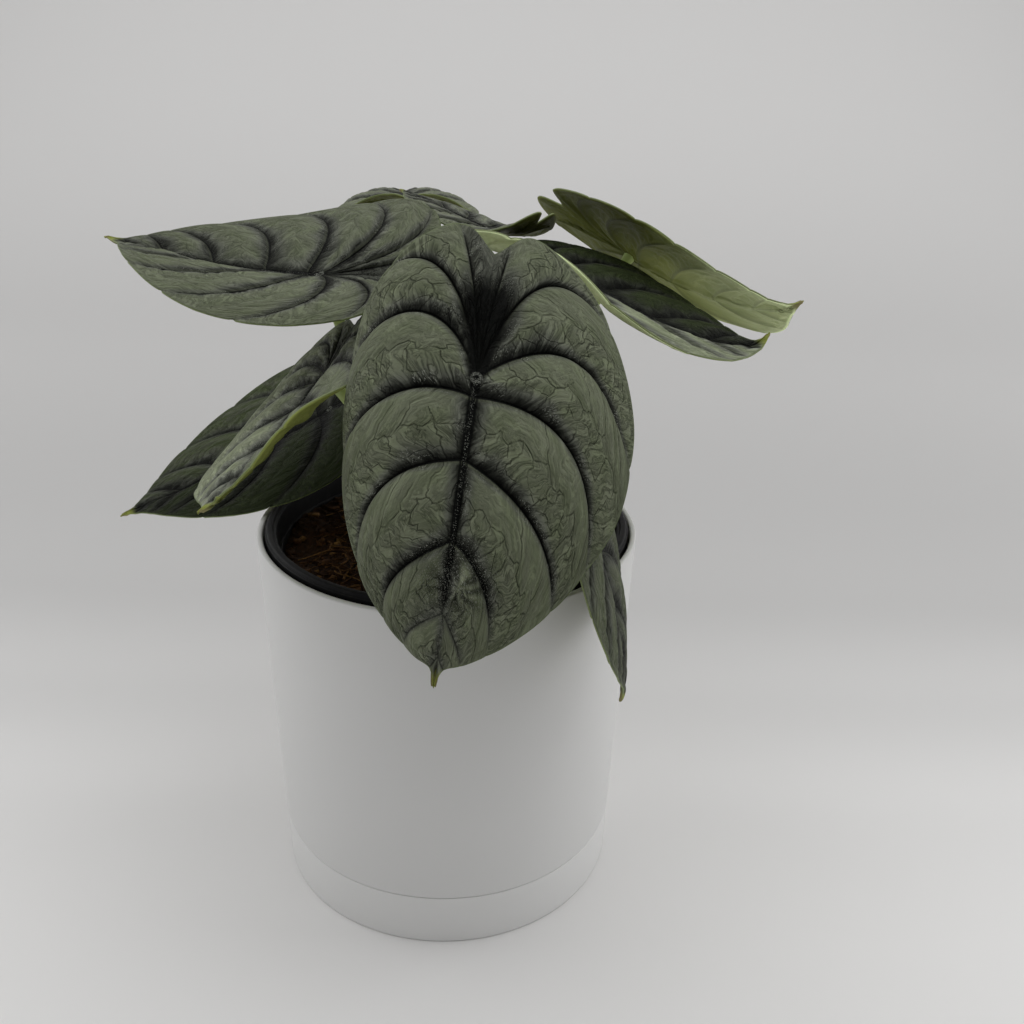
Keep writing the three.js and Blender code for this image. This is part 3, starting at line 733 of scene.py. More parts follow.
def shape_plug(draw):
    """The body of the mix: a lumpy round top on a narrowing plug."""
    begin()
    bpy.ops.mesh.primitive_grid_add(x_subdivisions=150, y_subdivisions=150, size=2 * PLUG_RADIUS * MM)
    plug = bpy.context.object
    x, y = mesh_arrays(plug)[0][:, :2].T / MM
    rounding = np.maximum(np.abs(x), np.abs(y)) / np.maximum(np.hypot(x, y), 1e-6)
    x, y = x * rounding, y * rounding
    rough = sum(size * np.sin(x * a + phase) * np.sin(y * b - phase) for size, a, b, phase in PLUG_WAVES)
    z = MIX_TOP + MOUND + mix_height(x, y) + rough
    plug.data.vertices.foreach_set("co", (np.stack([x, y, z], 1) * MM).ravel())
    set_values(plug.data, "chip", draw.uniform(0.05, 0.4, len(x)))
    bpy.ops.object.mode_set(mode="EDIT")
    bpy.ops.mesh.select_all(action="DESELECT")
    bpy.ops.mesh.select_mode(type="EDGE")
    bpy.ops.mesh.select_non_manifold()
    for drop, narrowing in ((16, 0.973), (110, 0.83)):
        bpy.ops.mesh.extrude_edges_move(TRANSFORM_OT_translate={"value": (0, 0, -drop * MM)})
        bpy.ops.transform.resize(value=(narrowing, narrowing, 1), center_override=(0, 0, 0))
    bpy.ops.mesh.edge_face_add()
    bpy.ops.object.mode_set(mode="OBJECT")
    settle(plug)
    return plug


def strew(draw, kinds):
    """One mesh of many shapes strewn over the mix. A kind is its shapes, their number, sizes and lift."""
    vertices, faces, shades = [], [], []
    count = 0
    for shapes, number, (least, most), lift in kinds:
        arrays = [mesh_arrays(shape) for shape in shapes]
        for _ in range(number):
            places, sides = arrays[draw.integers(len(arrays))]
            reach = (PLUG_RADIUS - most * 0.6) * math.sqrt(draw.uniform())
            angle = draw.uniform(0, 2 * math.pi)
            x, y = reach * math.cos(angle), reach * math.sin(angle)
            size = draw.uniform(least, most)
            turn = Matrix.Rotation(draw.uniform(0, 2 * math.pi), 3, "Z")
            turn = turn @ Matrix.Rotation(draw.normal(0, 0.3), 3, "X")
            turn = turn @ Matrix.Rotation(draw.normal(0, 0.14), 3, "Y")
            height = MIX_TOP + MOUND + mix_height(x, y) + lift * draw.uniform(0.1, 1.0)
            moved = places @ np.array(turn).T * size + (x, y, height)
            vertices.append(moved * MM)
            faces += [tuple(count + k for k in side) for side in sides]
            shades.append(np.full(len(moved), draw.uniform(0.15, 1.0)))
            count += len(moved)
        for shape in shapes:
            bpy.data.objects.remove(shape)
    mesh = bpy.data.meshes.new("strewn")
    mesh.from_pydata(np.concatenate(vertices).tolist(), [], faces)
    set_values(mesh, "chip", np.concatenate(shades))
    strewn = bpy.data.objects.new("strewn", mesh)
    bpy.context.scene.collection.objects.link(strewn)
    return strewn


class ALOCASIA_OT_potting_mix(bpy.types.Operator):
    """Builds the potting mix: a lumpy plug strewn with bark chips and coir fibres"""
    bl_idname = "alocasia.potting_mix"
    bl_label = "Potting mix"

    def execute(self, context):
        settings = context.scene.alocasia_mix
        draw = np.random.default_rng(11)
        plug = shape_plug(draw)
        chips = [shape_chip(seed, stretch) for seed, stretch in enumerate(CHIP_SHAPES)]
        fibres = [shape_fibre(bends) for bends in FIBRE_BENDS]
        pick(strew(draw, [
            (chips, settings.chips, (1.3, 3.4), 0.6), (fibres, settings.fibres, (6, 19), 2.6)]), plug)
        bpy.ops.object.join()
        smooth(plug, 50)
        keep(plug, "potting_mix_strewn", "soil", "mix", mix_material())
        return {"FINISHED"}


class ALOCASIA_OT_rhizome(bpy.types.Operator):
    """Builds the short ringed rhizome at the middle of the plant"""
    bl_idname = "alocasia.rhizome"
    bl_label = "Rhizome"

    def execute(self, context):
        corners = [(0.01, 123), (4.8, 125, 1)]
        for height in range(131, 156, 5):
            corners += [(7.9, height, 0.7), (7.1, height + 3, 0.7)]
        corners += [(4.8, 160, 1.2), (0.01, 162)]
        corm = turned(corners, 40, closed=False)
        smooth(corm)
        keep(corm, "rhizome_ringed", "rhizome", "corm", corm_skin())
        return {"FINISHED"}


# Leaves

def along_curve(knots, t):
    """Points on the smooth curve through the knots, at the places t."""
    padded = np.vstack([2 * knots[0] - knots[1], knots, 2 * knots[-1] - knots[-2]])
    i = np.minimum(np.floor(t).astype(int), len(knots) - 2)
    f = (t - i)[..., None]
    p0, p1, p2, p3 = (padded[i + k] for k in range(4))
    return 0.5 * (2 * p1 + (p2 - p0) * f + (2 * p0 - 5 * p1 + 4 * p2 - p3) * f ** 2
                  + (3 * p1 - p0 - 3 * p2 + p3) * f ** 3)


def flat_place(ribs, a, t):
    """The flat place at rib number a, and t of the way from the midrib to the edge."""
    i = np.minimum(np.floor(a).astype(int), len(ribs) - 2)
    start, end, bend_x, bend_y = np.moveaxis(
        ribs[i] + (ribs[i + 1] - ribs[i]) * (a - i)[..., None], -1, 0)
    edge = along_curve(TAPERED if ribs is RIBS else OUTLINE, end)
    x = 2 * bend_x * t * (1 - t) + edge[..., 0] * t ** 2
    y = start * (1 - t) ** 2 + 2 * bend_y * t * (1 - t) + edge[..., 1] * t ** 2
    notch = (0.03 if ribs is RIBS else 0.014) * (1 - np.abs(np.sin(math.pi * a)) ** 0.5) * t ** 6
    return x * (1 - notch), y


OUTLINE_SAMPLES = along_curve(OUTLINE, np.linspace(1, 9, 161))


def half_width(y):
    return np.interp(y, OUTLINE_SAMPLES[:, 1], OUTLINE_SAMPLES[:, 0], right=0)


def midrib_angles(leaf, v):
    hooked = (np.maximum(0, v - HOOK_START) / (1 - HOOK_START)) ** 1.5
    ahead = leaf["bend"] * v + leaf["tipBend"] * v ** 3 - leaf["hook"] * hooked
    slope = np.where(v < 0, leaf["lobeBend"] * v, ahead)
    return np.radians(slope), np.radians(leaf["sweep"] * v)


def ahead_along(slope, swing):
    return np.stack([np.sin(swing) * np.cos(slope), np.cos(swing) * np.cos(slope), -np.sin(slope)], -1)


def blade_place(leaf, side, x, y):
    """The place in space, in millimetres, of a flat place x out from the midrib on a side (-1 or 1)."""
    y = np.where(y < 0, y * leaf["lobes"], y)
    half = int(side > 0)
    length, width = leaf["length"], leaf["width"]
    reach = x * length * width
    curled = np.exp(-(((y - leaf["curlAt"][half]) / leaf["curlSpan"]) ** 2))
    widest = np.maximum(half_width(y) * length * width, 3)
    out, lift, middle = np.zeros_like(x), np.zeros_like(x), np.zeros(x.shape + (3,))
    for i in range(ARC_STEPS):
        share = (i + 0.5) / ARC_STEPS
        r = reach * share
        lean = np.radians(leaf["fold"][half] + leaf["cup"][half] * r / (length / 2)
                          + leaf["curl"][half] * curled * (r / widest) ** 5)
        out += np.cos(lean) * reach / ARC_STEPS
        lift += np.sin(lean) * reach / ARC_STEPS
        middle += ahead_along(*midrib_angles(leaf, y * share)) * (y * length / ARC_STEPS)[..., None]
    slope, swing = midrib_angles(leaf, y)
    ahead = ahead_along(slope, swing)
    across = np.stack([np.cos(swing), -np.sin(swing), np.zeros_like(swing)], -1)
    twist = (np.radians(leaf["twist"]) * y)[..., None]
    across = across * np.cos(twist) + np.cross(ahead, across) * np.sin(twist)
    up = np.cross(across, ahead)
    local = middle + side * out[..., None] * across + lift[..., None] * up
    turn = (Matrix.Rotation(math.radians(leaf["heading"] - 90), 3, "Z")
            @ Matrix.Rotation(-math.radians(leaf["dip"]), 3, "X")
            @ Matrix.Rotation(math.radians(leaf["roll"]), 3, "Y"))
    return local @ np.array(turn).T + leaf["joint"]


def unit(vectors):
    return vectors / np.maximum(np.linalg.norm(vectors, axis=-1, keepdims=True), 1e-12)


def blade_normal(leaf, side, x, y):
    """The blade's upward direction; on the midrib it is shared by both halves."""
    small = 0.004

    def one(s):
        in_x = s * (blade_place(leaf, s, x + small, y) - blade_place(leaf, s, x, y))
        in_y = blade_place(leaf, s, x, y + small) - blade_place(leaf, s, x, y - small)
        return unit(np.cross(in_x, in_y))

    own = one(side)
    shared = unit(own + one(-side))
    return np.where((x < 1e-6)[..., None], shared, own)


def smooth_step(value, start, full):
    t = np.clip((value - start) / (full - start), 0, 1)
    return t * t * (3 - 2 * t)


def drift(x, y, seed):
    """A slow seeded wander between about -1 and 1 over a surface in millimetres."""
    draw = np.random.default_rng(seed)
    total = np.zeros_like(x)
    for _ in range(6):
        angle, phase = draw.uniform(0, 2 * math.pi, 2)
        wave = 2 * math.pi / draw.uniform(9, 22)
        total += np.sin((x * math.cos(angle) + y * math.sin(angle)) * wave + phase)
    return total / 3


SEAM = 0.45  # where the seam between two ribs runs, as a share of the way across
STRAY = 0.13  # how far a vein strays from straight, as a share of its own length


def small_veins(out, width, seed):
    """The small veins of the panel between two ribs: a zigzag seam midway, rungs from it to both ribs and
    links between them. Gives each stretch's two ends, in millimetres along the ribs and share across, and its
    fineness."""
    draw = np.random.default_rng(seed)
    place, above = draw.uniform(1, 3), draw.uniform() < 0.5
    seam = []
    while place < out[-1]:
        seam.append((place, SEAM + (1 if above else -1) * draw.uniform(0.01, 0.07)))
        place += draw.uniform(2.4, 6.4)
        above = not above
    paths, rungs = [(seam, 1.0)], ([], [])
    for place, share in seam:
        rib = int(share > SEAM or draw.uniform() < 0.45)
        across = abs(rib - share) * np.interp(place, out, width)
        lean = draw.uniform(0.2, 0.85)
        rung = [(place - lean * across * step ** 1.4 + draw.normal(0, 0.45) * (0 < step < 1),
                 share + (rib - share) * step) for step in (0, 0.3, 0.65, 1)]
        paths.append((rung, 1.0))
        rungs[rib].append(rung)
    for row in rungs:
        for first, second in zip(row, row[1:]):
            if row is rungs[1] and draw.uniform() < 0.6:
                start, end = first[draw.integers(1, 3)], second[draw.integers(1, 3)]
                bow = ((start[0] + end[0]) / 2 + draw.normal(0, 0.6),
                       (start[1] + end[1]) / 2 + draw.normal(0, 0.03))
                paths.append(([start, bow, end], 1.5))
    ends = []
    for path, fineness in paths:
        points = np.array(path).reshape(-1, 2)
        for _ in range(2 if len(points) > 1 else 0):
            across = np.maximum(np.interp(points[:-1, 0], out, width), 0.5)
            reach = np.hypot(np.diff(points[:, 0]), np.diff(points[:, 1]) * across)[:, None]
            in_share = np.stack([np.ones_like(across), across], -1)
            shift = draw.normal(0, STRAY, (len(reach), 2)) * reach / in_share
            between = (points[:-1] + points[1:]) / 2 + shift
            points = np.insert(points, range(1, len(points)), between, axis=0)
        ends += [(*points[k], *points[k + 1], fineness) for k in range(len(points) - 1)]
    return np.array(ends or [(99, 0.5, 99.1, 0.5, 1)])


def stretches(veins, out, share, width):
    """The stretches' starts and directions as a place's own panel width lays them, seen from that place."""
    start_x, start_y = veins[..., 0] - out, (veins[..., 1] - share) * width
    along_x, along_y = veins[..., 2] - veins[..., 0], (veins[..., 3] - veins[..., 1]) * width
    return start_x, start_y, along_x, along_y, np.maximum(along_x ** 2 + along_y ** 2, 1e-6)


def nearest_vein(veins, out, share, width):
    """Millimetres to the nearest small vein, and the number of its stretch."""
    x, y, along_x, along_y, square = stretches(veins, out[..., None], share[..., None], width[..., None])
    t = np.clip(-(x * along_x + y * along_y) / square, 0, 1)
    away = np.hypot(x + t * along_x, y + t * along_y) * veins[:, 4]
    number = away.argmin(-1)
    return np.take_along_axis(away, number[..., None], -1)[..., 0], number


def beside_vein(veins, number, out, share, width):
    """Millimetres to one side of a stretch of vein, below 0 on its other side."""
    picked = veins[number]
    x, y, along_x, along_y, square = stretches(picked, out, share, width)
    return (x * along_y - y * along_x) / np.sqrt(square) * picked[..., 4]


CORNERS = ((0, 0), (0, 1), (1, 0), (1, 1))
CHEVRON = 0.75  # how far the grain falls back for each millimetre away from a rib
PANEL_APART, HALF_APART = 37, 400  # shifts that keep the panels' noise from repeating


def corner(values, k):
    """The values at the k-th corner of every cell of a grid."""
    row, column = CORNERS[k]
    return values[row:len(values) - 1 + row, column:values.shape[1] - 1 + column]


def lay_panels(leaf, number, side, ribs, a, t, out):
    """Over the grid: the share of the way between two ribs, the panel's width and the millimetres to the
    nearest small vein. For each cell's corners: the four numbers of its two maps."""
    share, width, vein = (np.zeros_like(a) for _ in range(3))
    laid = np.empty((len(a) - 1, a.shape[1] - 1, 4, 4))
    for panel in range(len(ribs) - 1):
        first, last = (int(np.abs(a[:, 0] - rib).argmin()) for rib in (panel, panel + 1))
        rows = slice(first, last + 1)
        s = a[rows] - panel
        lower, upper = (flat_place(ribs, np.full_like(s, rib), t[rows]) for rib in (panel, panel + 1))
        w = np.hypot((upper[0] - lower[0]) * leaf["width"], upper[1] - lower[1]) * leaf["length"]
        middle = (last - first) // 2
        veins = small_veins(out[rows][middle], w[middle], 1000 * number + 100 * (side > 0) + panel)
        share[rows], width[rows] = s, w
        vein[rows] = nearest_vein(veins, out[rows], s, w)[0]
        centre = [sum(corner(values, k) for k in range(4)) / 4 for values in (out[rows], s, w)]
        chosen = nearest_vein(veins, *centre)[1]
        for k in range(4):
            o, q, wide = (corner(values, k) for values in (out[rows], s, w))
            from_rib = np.where(centre[1] > 0.5, (q - 1) * wide, q * wide)
            laid[first:last, :, k] = np.stack([
                o - CHEVRON * np.abs(from_rib), q * wide + PANEL_APART * panel + HALF_APART * (side > 0),
                beside_vein(veins, chosen, o, q, wide), from_rib], -1)
    return share, width, vein, laid


# How much shows on the front leaf, and on the others. The three reaches are how far, in millimetres, the dark
# spreads from a rib downwards and upwards and from the midrib: the veins' own dark green, spread further
# below a rib as painted shade. The sinus and lobe darkness is painted shade
SHOWN = {
    "quilt": (1, 0.78), "below_rib": (4.3, 6), "above_rib": (1.4, 4), "from_midrib": (3.6, 6),
    "sinus": (1.3, 0.5), "lobe": (0.5, 0.6), "dark": (1, 0.85), "rib": (1, 0.55), "net": (1, 0.45),
}
PINCH_PLACE = (-3, 0.62)  # of the pinched spot: millimetres beside the midrib, leaf lengths along it
FAR = 99


def half_blade(leaf, number, side, a, t):
    """Places, upward directions and surface values of one half, over the grid of a and t."""
    front = number == 0
    shown = {name: pair[not front] for name, pair in SHOWN.items()}
    ribs = FRONT_RIBS[side > 0] if front else RIBS
    length = leaf["length"]
    x, y = flat_place(ribs, a, t)
    steps = np.hypot(np.diff(x, axis=1) * leaf["width"], np.diff(y, axis=1)) * length
    out = np.concatenate([np.zeros((len(x), 1)), np.cumsum(steps, axis=1)], axis=1)
    share, width, vein, laid = lay_panels(leaf, number, side, ribs, a, t, out)
    to_edge = out[:, -1:] - out
    to_rib = np.minimum(share, 1 - share) * width
    to_midrib = np.where(y > -0.004, x * length, FAR)
    strip = 0.95 * (1 - 0.8 * np.clip(y, 0, 1))
    along_midrib = to_midrib / strip
    wide = smooth_step(width, 2, 8)

    # Relief: quilting between the ribs, swellings between the small veins and a vein along the margin
    quilt = np.minimum(3.2, 0.16 * width) * np.sin(math.pi * share ** 0.82) ** 0.6
    quilt *= np.minimum(1, t / 0.3) * (1 - 0.8 * t ** 4) * shown["quilt"]
    fade = wide * smooth_step(to_edge, 0.3, 2.5) * smooth_step(to_rib, 0.2, 1.6)
    margin = np.where(to_edge < 9, np.abs(to_edge - 3.6 - 0.5 * drift(out, share * width, 7)), FAR)
    swell = (0.2 - np.exp(-(np.minimum(vein, margin) / 1.15) ** 1.5)) * fade
    raised = 0.5 * np.exp(-(to_midrib / (0.75 * strip)) ** 4)
    raised -= 0.5 * np.exp(-((along_midrib - 1.3) / 0.45) ** 2)
    quilt += raised * (1 - smooth_step(y, 0.5, 0.8)) * (to_midrib < 9)

    # The pinched spot of the front leaf: a knob in a ring, with pleats round it
    beside, ahead = side * x * length - PINCH_PLACE[0], (y - PINCH_PLACE[1]) * length
    from_pinch = np.hypot(beside, ahead)
    pinch = np.exp(-(from_pinch / 9) ** 2) * front
    pleats = np.cos(9 * np.arctan2(ahead, beside) + 2.2 * drift(beside, ahead, 5))
    knob = 2.6 * np.exp(-(from_pinch / 3.4) ** 2) - 1.3 * np.exp(-((from_pinch - 6.5) / 2.6) ** 2)
    quilt += front * knob + 0.42 * pleats * pinch * np.minimum(1, from_pinch / 4)

    # Darkness: beside the ribs and the midrib, their own dark green with painted shade spread below each rib,
    # and painted shade behind the joint where the lobes meet
    wander = drift(x * length, side * y * length, number + 31)
    spread = np.where(share > 0.5, shown["below_rib"], shown["above_rib"])
    spread = np.clip(spread * (1 - 0.45 * t) * (1 + 0.25 * wander), 0.8, 9)
    near_rib = np.exp(-(to_rib / spread) ** 1.3) * (1 - 0.85 * t ** 4)
    near_midrib = np.exp(-(to_midrib / shown["from_midrib"] / strip) ** 1.3)
    behind = np.maximum(0, -y * length)
    sinus = np.exp(-(x * length / np.minimum(8.5, 2.5 + 0.3 * behind)) ** 3) * (y < 0)
    sinus *= (1 - smooth_step(behind, 20, 46)) * shown["sinus"]
    lobe = (1 - smooth_step(a, 0.75, 1.3)) * shown["lobe"] * (1 - 0.5 * t ** 4)
    sinus = np.maximum(sinus, lobe)
    faint = 1 - 0.6 * front * smooth_step(y, 0.64, 0.74)
    rib_shown = (1 - smooth_step(t, 0.8, 0.98)) * np.minimum(1, a / 0.6) * smooth_step(width, 0.1, 1)
    values = {
        "dark": np.clip(np.maximum.reduce([near_rib, near_midrib, sinus]), 0, 1) * faint * shown["dark"],
        "rib": rib_shown * (1 - np.clip(sinus, 0, 1)) * faint * shown["rib"],
        "net": wide * smooth_step(to_edge, 0.3, 1.2) * shown["net"],
        "margin": np.minimum(to_edge, 12),
        "midrib": np.minimum(along_midrib, 9) + 9 * front * smooth_step(y, 0.6, 0.68),
        "tip": smooth_step(y, 0.925, 0.965),
        "joint": np.minimum(np.hypot(x, y) * length, 9),
        "pinch": pinch,
        # Painted shade in the valleys of the pleats round the pinched spot
        "pleat": np.clip(pinch * (0.75 - 0.75 * pleats), 0, 1) * np.minimum(1, from_pinch / 2.5),
        "ahead": np.clip(y, 0, 1),
        "lower": smooth_step(share, 0.25, 0.6),
    }
    under_rib = 0.7 * np.exp(-(to_rib / 0.8) ** 2) * (1 - t) * wide
    under_midrib = 1.2 * np.exp(-(to_midrib / 1.5) ** 2) * (1 - smooth_step(y, 0.6, 1))
    return {
        "place": blade_place(leaf, side, x, y), "normal": blade_normal(leaf, side, x, y),
        "quilt": quilt, "swell": swell, "under": np.maximum(under_rib, under_midrib),
        "edge": 1 - smooth_step(to_edge, 0.1, 0.8), "laid": laid, "values": values,
    }


def rib_places(rows):
    """Rib numbers of the grid's rows, every rib among them."""
    places = [np.zeros(1)]
    for rib, share in enumerate(RIB_ROWS):
        count = max(2, round(rows * share))
        places.append(rib + np.arange(1, count + 1) / count)
    return np.concatenate(places)


class ALOCASIA_OT_blade(bpy.types.Operator):
    """Builds one leaf's blade: a fine grid bent as its solid is, quilted, and given its thickness"""
    bl_idname = "alocasia.blade"
    bl_label = "Blade"
    leaf: bpy.props.StringProperty(name="Leaf", description="Which leaf", default="front")

    def execute(self, context):
        settings = context.scene.alocasia_leaves
        leaf = LEAVES[self.leaf]
        number = list(LEAVES).index(self.leaf)
        rows, columns = (228, 84) if number == 0 else (172, 64)
        a_places = rib_places(rows)
        a, t = np.meshgrid(a_places, np.linspace(0, 1, columns + 1), indexing="ij")
        halves = [half_blade(leaf, number, side, a, t) for side in (-1, 1)]
        tones_and_shades, greens, (joint_painted_light, tip_painted_light), glitter = TONES_AND_LIGHT[self.leaf]
        # Each half's tone carries its painted shade
        for half, tone, green in zip(halves, tones_and_shades, greens):
            values = half["values"]
            # Painted light on the lower face, from the joint to the tip
            values["glow"] = joint_painted_light + (tip_painted_light - joint_painted_light) * values.pop("ahead")
            for name, value in (("tone", tone), ("green", green), ("glitter", glitter)):
                values[name] = np.full_like(a, value)
        begin()
        bpy.ops.mesh.primitive_grid_add(
            x_subdivisions=2 * columns, y_subdivisions=len(a_places) - 1, size=0.1)
        blade = bpy.context.object
        mesh = blade.data

        def both(pick_from):
            left, right = (pick_from(half) for half in halves)
            return np.concatenate([left[:, :0:-1], right], axis=1).reshape(len(mesh.vertices), -1)

        height = both(lambda half: half["quilt"] + half["swell"] * settings.relief / MM)
        place = both(lambda half: half["place"]) + both(lambda half: half["normal"]) * height
        mesh.vertices.foreach_set("co", (place * MM).ravel())
        for name in halves[0]["values"]:
            set_values(mesh, name, both(lambda half: half["values"][name]).ravel())
        self.lay_veins(mesh, halves, columns)
        depth = settings.thickness / MM + both(lambda half: half["under"]).ravel()
        depth *= 1 - 0.3 * both(lambda half: half["edge"]).ravel()
        group = blade.vertex_groups.new(name="depth")
        for vertex, weight in enumerate(depth / depth.max()):
            group.add([vertex], float(weight), "REPLACE")
        settle(blade, 2e-6, closed=False)
        wall = blade.modifiers.new("wall", "SOLIDIFY")
        wall.thickness, wall.offset = depth.max() * MM, -1
        wall.vertex_group = "depth"
        wall.material_offset, wall.material_offset_rim = 1, 2
        for name in ("blade_top", "blade_underside", "blade_margin"):
            mesh.materials.append(bpy.data.materials[name])
        apply_modifiers(blade)
        blade.vertex_groups.clear()
        pick(blade)
        bpy.ops.object.shade_smooth()
        keep(blade, "blade_" + self.leaf + "_quilted", "blade_" + self.leaf, "blade")
        return {"FINISHED"}

    def lay_veins(self, mesh, halves, columns):
        """Two maps in millimetres, laid face by face: along and across the ribs, and the way from the nearest
        small vein and rib."""
        wide = 2 * columns + 1
        vertex = np.empty(len(mesh.loops), int)
        mesh.loops.foreach_get("vertex_index", vertex)
        row, column = (vertex // wide).reshape(-1, 4), (vertex % wide).reshape(-1, 4)
        face_row, face_column = row.min(axis=1), column.min(axis=1)
        left = face_column < columns
        face_step = np.where(left, columns - 1 - face_column, face_column - columns)
        step = np.abs(column - columns)
        k = 2 * (row - face_row[:, None]) + step - face_step[:, None]
        laid = np.where(left[:, None, None], *(
            half["laid"][face_row[:, None], face_step[:, None], k] for half in halves))
        mesh.uv_layers[0].name = "veins"
        mesh.uv_layers.new(name="reach")
        for layer, columns_of in ((0, slice(0, 2)), (1, slice(2, 4))):
            mesh.uv_layers[layer].data.foreach_set("uv", laid[..., columns_of].ravel())


# The last stretch of a petiole under its blade, and the swelling there
NECK, BEDDED, COLLAR, COLLAR_SPAN = 3, 1.3, 0.6, 2.2


def petiole_path(leaf, steps=48):
    """Points up the petiole, in millimetres, from its foot in the mix to the blade."""
    angle, splay = math.radians(leaf["base"]), math.radians(FOOT_SPLAY)
    outward = np.array([math.cos(angle), math.sin(angle), 0])
    rise = np.array([0, 0, math.cos(splay)]) + outward * math.sin(splay)
    surface = outward * FOOT_RING + (0, 0, MIX_TOP)
    foot = surface - rise * FOOT_DEPTH
    clear = surface + rise * (CHIP_HEIGHT + 2)
    zero = np.zeros((1, 1))
    normal = blade_normal(leaf, 1, zero, zero)[0, 0]
    arrival = unit(np.array(leaf.get("arrival", normal)))
    joint = blade_place(leaf, 1, zero, zero)[0, 0]
    end = joint - normal * NECK
    span = np.linalg.norm(clear - end)
    handles = clear + rise * span * 0.45, end - arrival * span * 0.3
    t = np.linspace(0, 1, steps)[:, None]
    bent = (clear * (1 - t) ** 3 + 3 * handles[0] * t * (1 - t) ** 2
            + 3 * handles[1] * t ** 2 * (1 - t) + end * t ** 3)
    straight = foot + (clear - foot) * np.linspace(0, 1, 6, endpoint=False)[:, None]
    return np.vstack([straight, bent, joint - normal * BEDDED])


class ALOCASIA_OT_petiole(bpy.types.Operator):
    """Builds one leaf's petiole: a tapering stem from the mix to the underside of its blade"""
    bl_idname = "alocasia.petiole"
    bl_label = "Petiole"
    leaf: bpy.props.StringProperty(name="Leaf", description="Which leaf", default="front")

    def execute(self, context):
        path = petiole_path(LEAVES[self.leaf])
        along = np.concatenate([[0], np.cumsum(np.linalg.norm(np.diff(path, axis=0), axis=1))])
        to_joint = along[-1] - along
        radius = FOOT_RADIUS + (JOINT_RADIUS - FOOT_RADIUS) * along / along[-1]
        radius += COLLAR * np.exp(-(to_joint / COLLAR_SPAN) ** 2)
        begin()
        bpy.ops.curve.primitive_nurbs_path_add()
        curve = bpy.context.object.data
        curve.splines.clear()
        spline = curve.splines.new("POLY")
        spline.points.add(len(path) - 1)
        for point, place, size in zip(spline.points, path * MM, radius * MM):
            point.co, point.radius = (*place, 1), size
        curve.dimensions, curve.twist_mode, curve.use_fill_caps = "3D", "MINIMUM", True
        curve.bevel_depth, curve.bevel_resolution = 1, 5
        bpy.ops.object.convert(target="MESH")
        stem = bpy.context.object
        settle(stem)
        smooth(stem, 60)
        keep(stem, "petiole_" + self.leaf + "_smooth", "petiole_" + self.leaf, "petiole",
             bpy.data.materials["petiole_skin"])
        return {"FINISHED"}


# Stage

def soft_box(name, place, aim, size, power):
    """A square area light that faces a point."""
    begin()
    bpy.ops.object.light_add(type="AREA", location=place)
    light = bpy.context.object
    light.name = name
    light.data.shape, light.data.size, light.data.energy = "SQUARE", size, power
    light.rotation_euler = (Vector(aim) - Vector(place)).to_track_quat("-Z", "Y").to_euler()


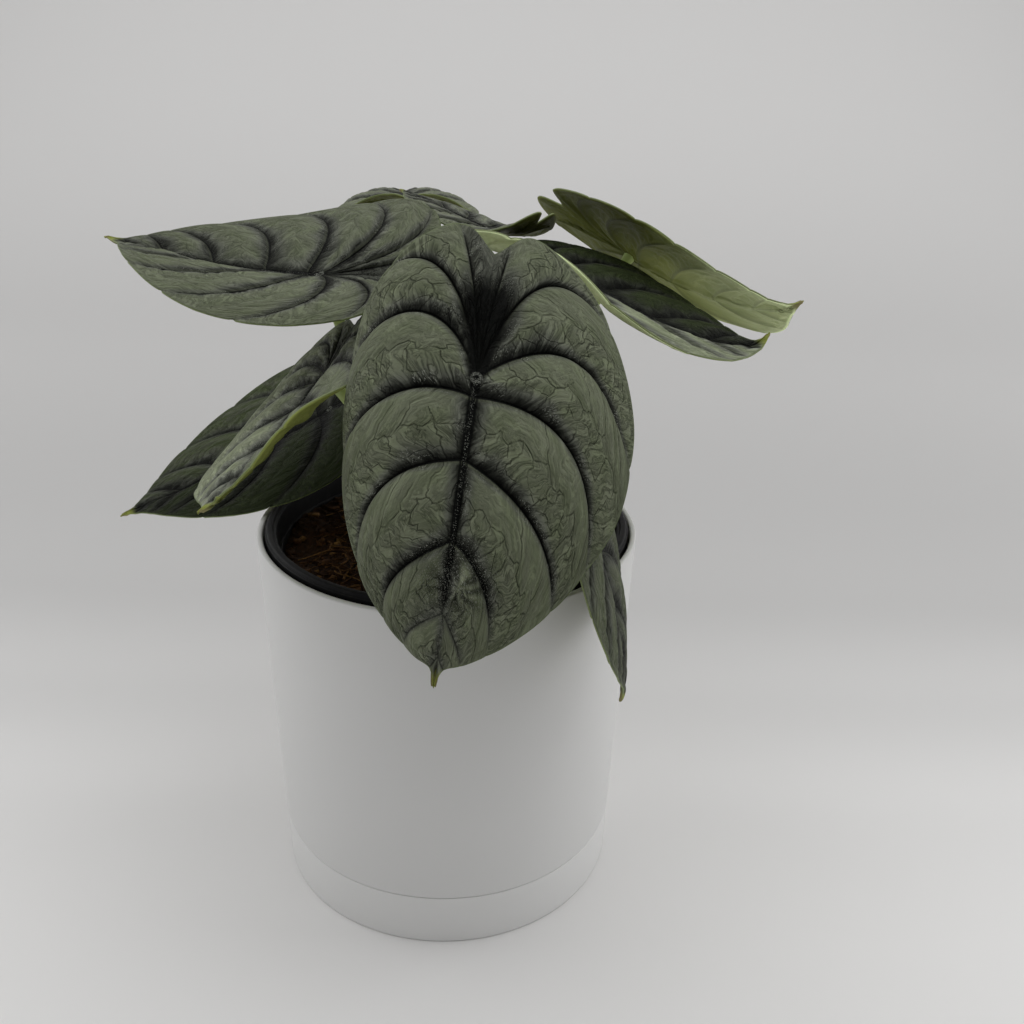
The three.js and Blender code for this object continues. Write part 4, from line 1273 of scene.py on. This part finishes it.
class ALOCASIA_OT_stage(bpy.types.Operator):
    """Builds the pale sweep, the soft lights and the camera"""
    bl_idname = "alocasia.stage"
    bl_label = "Stage"

    def execute(self, context):
        settings = context.scene.alocasia_stage
        begin()
        bpy.ops.mesh.primitive_plane_add(size=1)
        sweep = bpy.context.object
        sweep.name = sweep.data.name = "sweep"
        width, front, bend_start, bend, bend_steps, height = 8, -3.0, 0.8, 0.7, 16, 1.6
        for vertex in sweep.data.vertices:
            vertex.co.x *= width
            vertex.co.y = front if vertex.co.y < 0 else bend_start
        bpy.ops.object.mode_set(mode="EDIT")
        bpy.ops.mesh.select_mode(type="EDGE")
        bpy.ops.mesh.select_all(action="DESELECT")
        bpy.ops.object.mode_set(mode="OBJECT")
        for edge in sweep.data.edges:
            edge.select = all(sweep.data.vertices[v].co.y > 0 for v in edge.vertices)
        bpy.ops.object.mode_set(mode="EDIT")
        for i in range(bend_steps):
            start, stop = (k / bend_steps * math.pi / 2 for k in (i, i + 1))
            move = (0, bend * (math.sin(stop) - math.sin(start)), bend * (math.cos(start) - math.cos(stop)))
            bpy.ops.mesh.extrude_edges_move(TRANSFORM_OT_translate={"value": move})
        bpy.ops.mesh.extrude_edges_move(TRANSFORM_OT_translate={"value": (0, 0, height)})
        bpy.ops.object.mode_set(mode="OBJECT")
        smooth(sweep, 30)
        sweep.data.materials.append(paper(settings))

        soft_box("soft_top", (0.0, 0.1, 1.9), (0, 0.05, 0), 3.0, 32)
        soft_box("soft_left", (-1.3, 0.3, 0.5), (0, 0, 0.15), 1.0, 4.2)
        soft_box("soft_right", (1.3, 0.3, 0.5), (0, 0, 0.15), 1.0, 5.4)
        world = context.scene.world = bpy.data.worlds.new("room")
        world.use_nodes = True
        background = world.node_tree.nodes["Background"].inputs
        background["Color"].default_value, background["Strength"].default_value = (1, 1, 1, 1), 0.2

        begin()
        bpy.ops.object.camera_add(location=settings.eye)
        camera = bpy.context.object
        camera.name = "camera"
        pitch, roll = settings.pitch, settings.roll
        view = Vector((0, math.cos(pitch), -math.sin(pitch)))
        right, up = Vector((1, 0, 0)), Vector((0, math.sin(pitch), math.cos(pitch)))
        turned_right = right * math.cos(roll) + up * math.sin(roll)
        turned_up = up * math.cos(roll) - right * math.sin(roll)
        axes = Matrix((turned_right, turned_up, -view)).transposed()
        camera.rotation_euler = axes.to_euler()
        camera.data.lens, camera.data.sensor_width = settings.lens, 36
        camera.data.clip_start, camera.data.clip_end = 0.01, 50
        context.scene.camera = camera
        context.scene.view_settings.view_transform = "Standard"
        return {"FINISHED"}


class ALOCASIA_PT_panel(bpy.types.Panel):
    """Lists the pieces and their settings"""
    bl_idname = "ALOCASIA_PT_panel"
    bl_label = "Alocasia"
    bl_space_type = "VIEW_3D"
    bl_region_type = "UI"
    bl_category = "Alocasia"

    def draw(self, context):
        for name in SETTINGS:
            box = self.layout.box()
            for field in SETTINGS[name].__annotations__:
                box.prop(getattr(context.scene, name), field)
        for operator in OPERATORS:
            self.layout.operator(operator.bl_idname)


SETTINGS = {
    "alocasia_pots": PotSettings, "alocasia_leaves": LeafSettings,
    "alocasia_mix": MixSettings, "alocasia_stage": StageSettings,
}
OPERATORS = (
    ALOCASIA_OT_saucer, ALOCASIA_OT_cover_pot, ALOCASIA_OT_nursery_pot, ALOCASIA_OT_potting_mix,
    ALOCASIA_OT_rhizome, ALOCASIA_OT_blade, ALOCASIA_OT_petiole, ALOCASIA_OT_stage,
)


def register():
    for name, group in SETTINGS.items():
        bpy.utils.register_class(group)
        setattr(bpy.types.Scene, name, bpy.props.PointerProperty(type=group))
    for operator in OPERATORS:
        bpy.utils.register_class(operator)
    bpy.utils.register_class(ALOCASIA_PT_panel)


def unregister():
    bpy.utils.unregister_class(ALOCASIA_PT_panel)
    for operator in reversed(OPERATORS):
        bpy.utils.unregister_class(operator)
    for name, group in reversed(SETTINGS.items()):
        delattr(bpy.types.Scene, name)
        bpy.utils.unregister_class(group)


def main():
    register()
    bpy.ops.alocasia.saucer()
    bpy.ops.alocasia.cover_pot()
    bpy.ops.alocasia.nursery_pot()
    bpy.ops.alocasia.potting_mix()
    bpy.ops.alocasia.rhizome()
    blade_margin()
    for finish in (blade_top, blade_underside, petiole_skin):
        finish(bpy.context.scene.alocasia_leaves)
    for leaf in LEAVES:
        bpy.ops.alocasia.blade(leaf=leaf)
        bpy.ops.alocasia.petiole(leaf=leaf)
    bpy.ops.alocasia.stage()


if __name__ == "__main__":
    main()
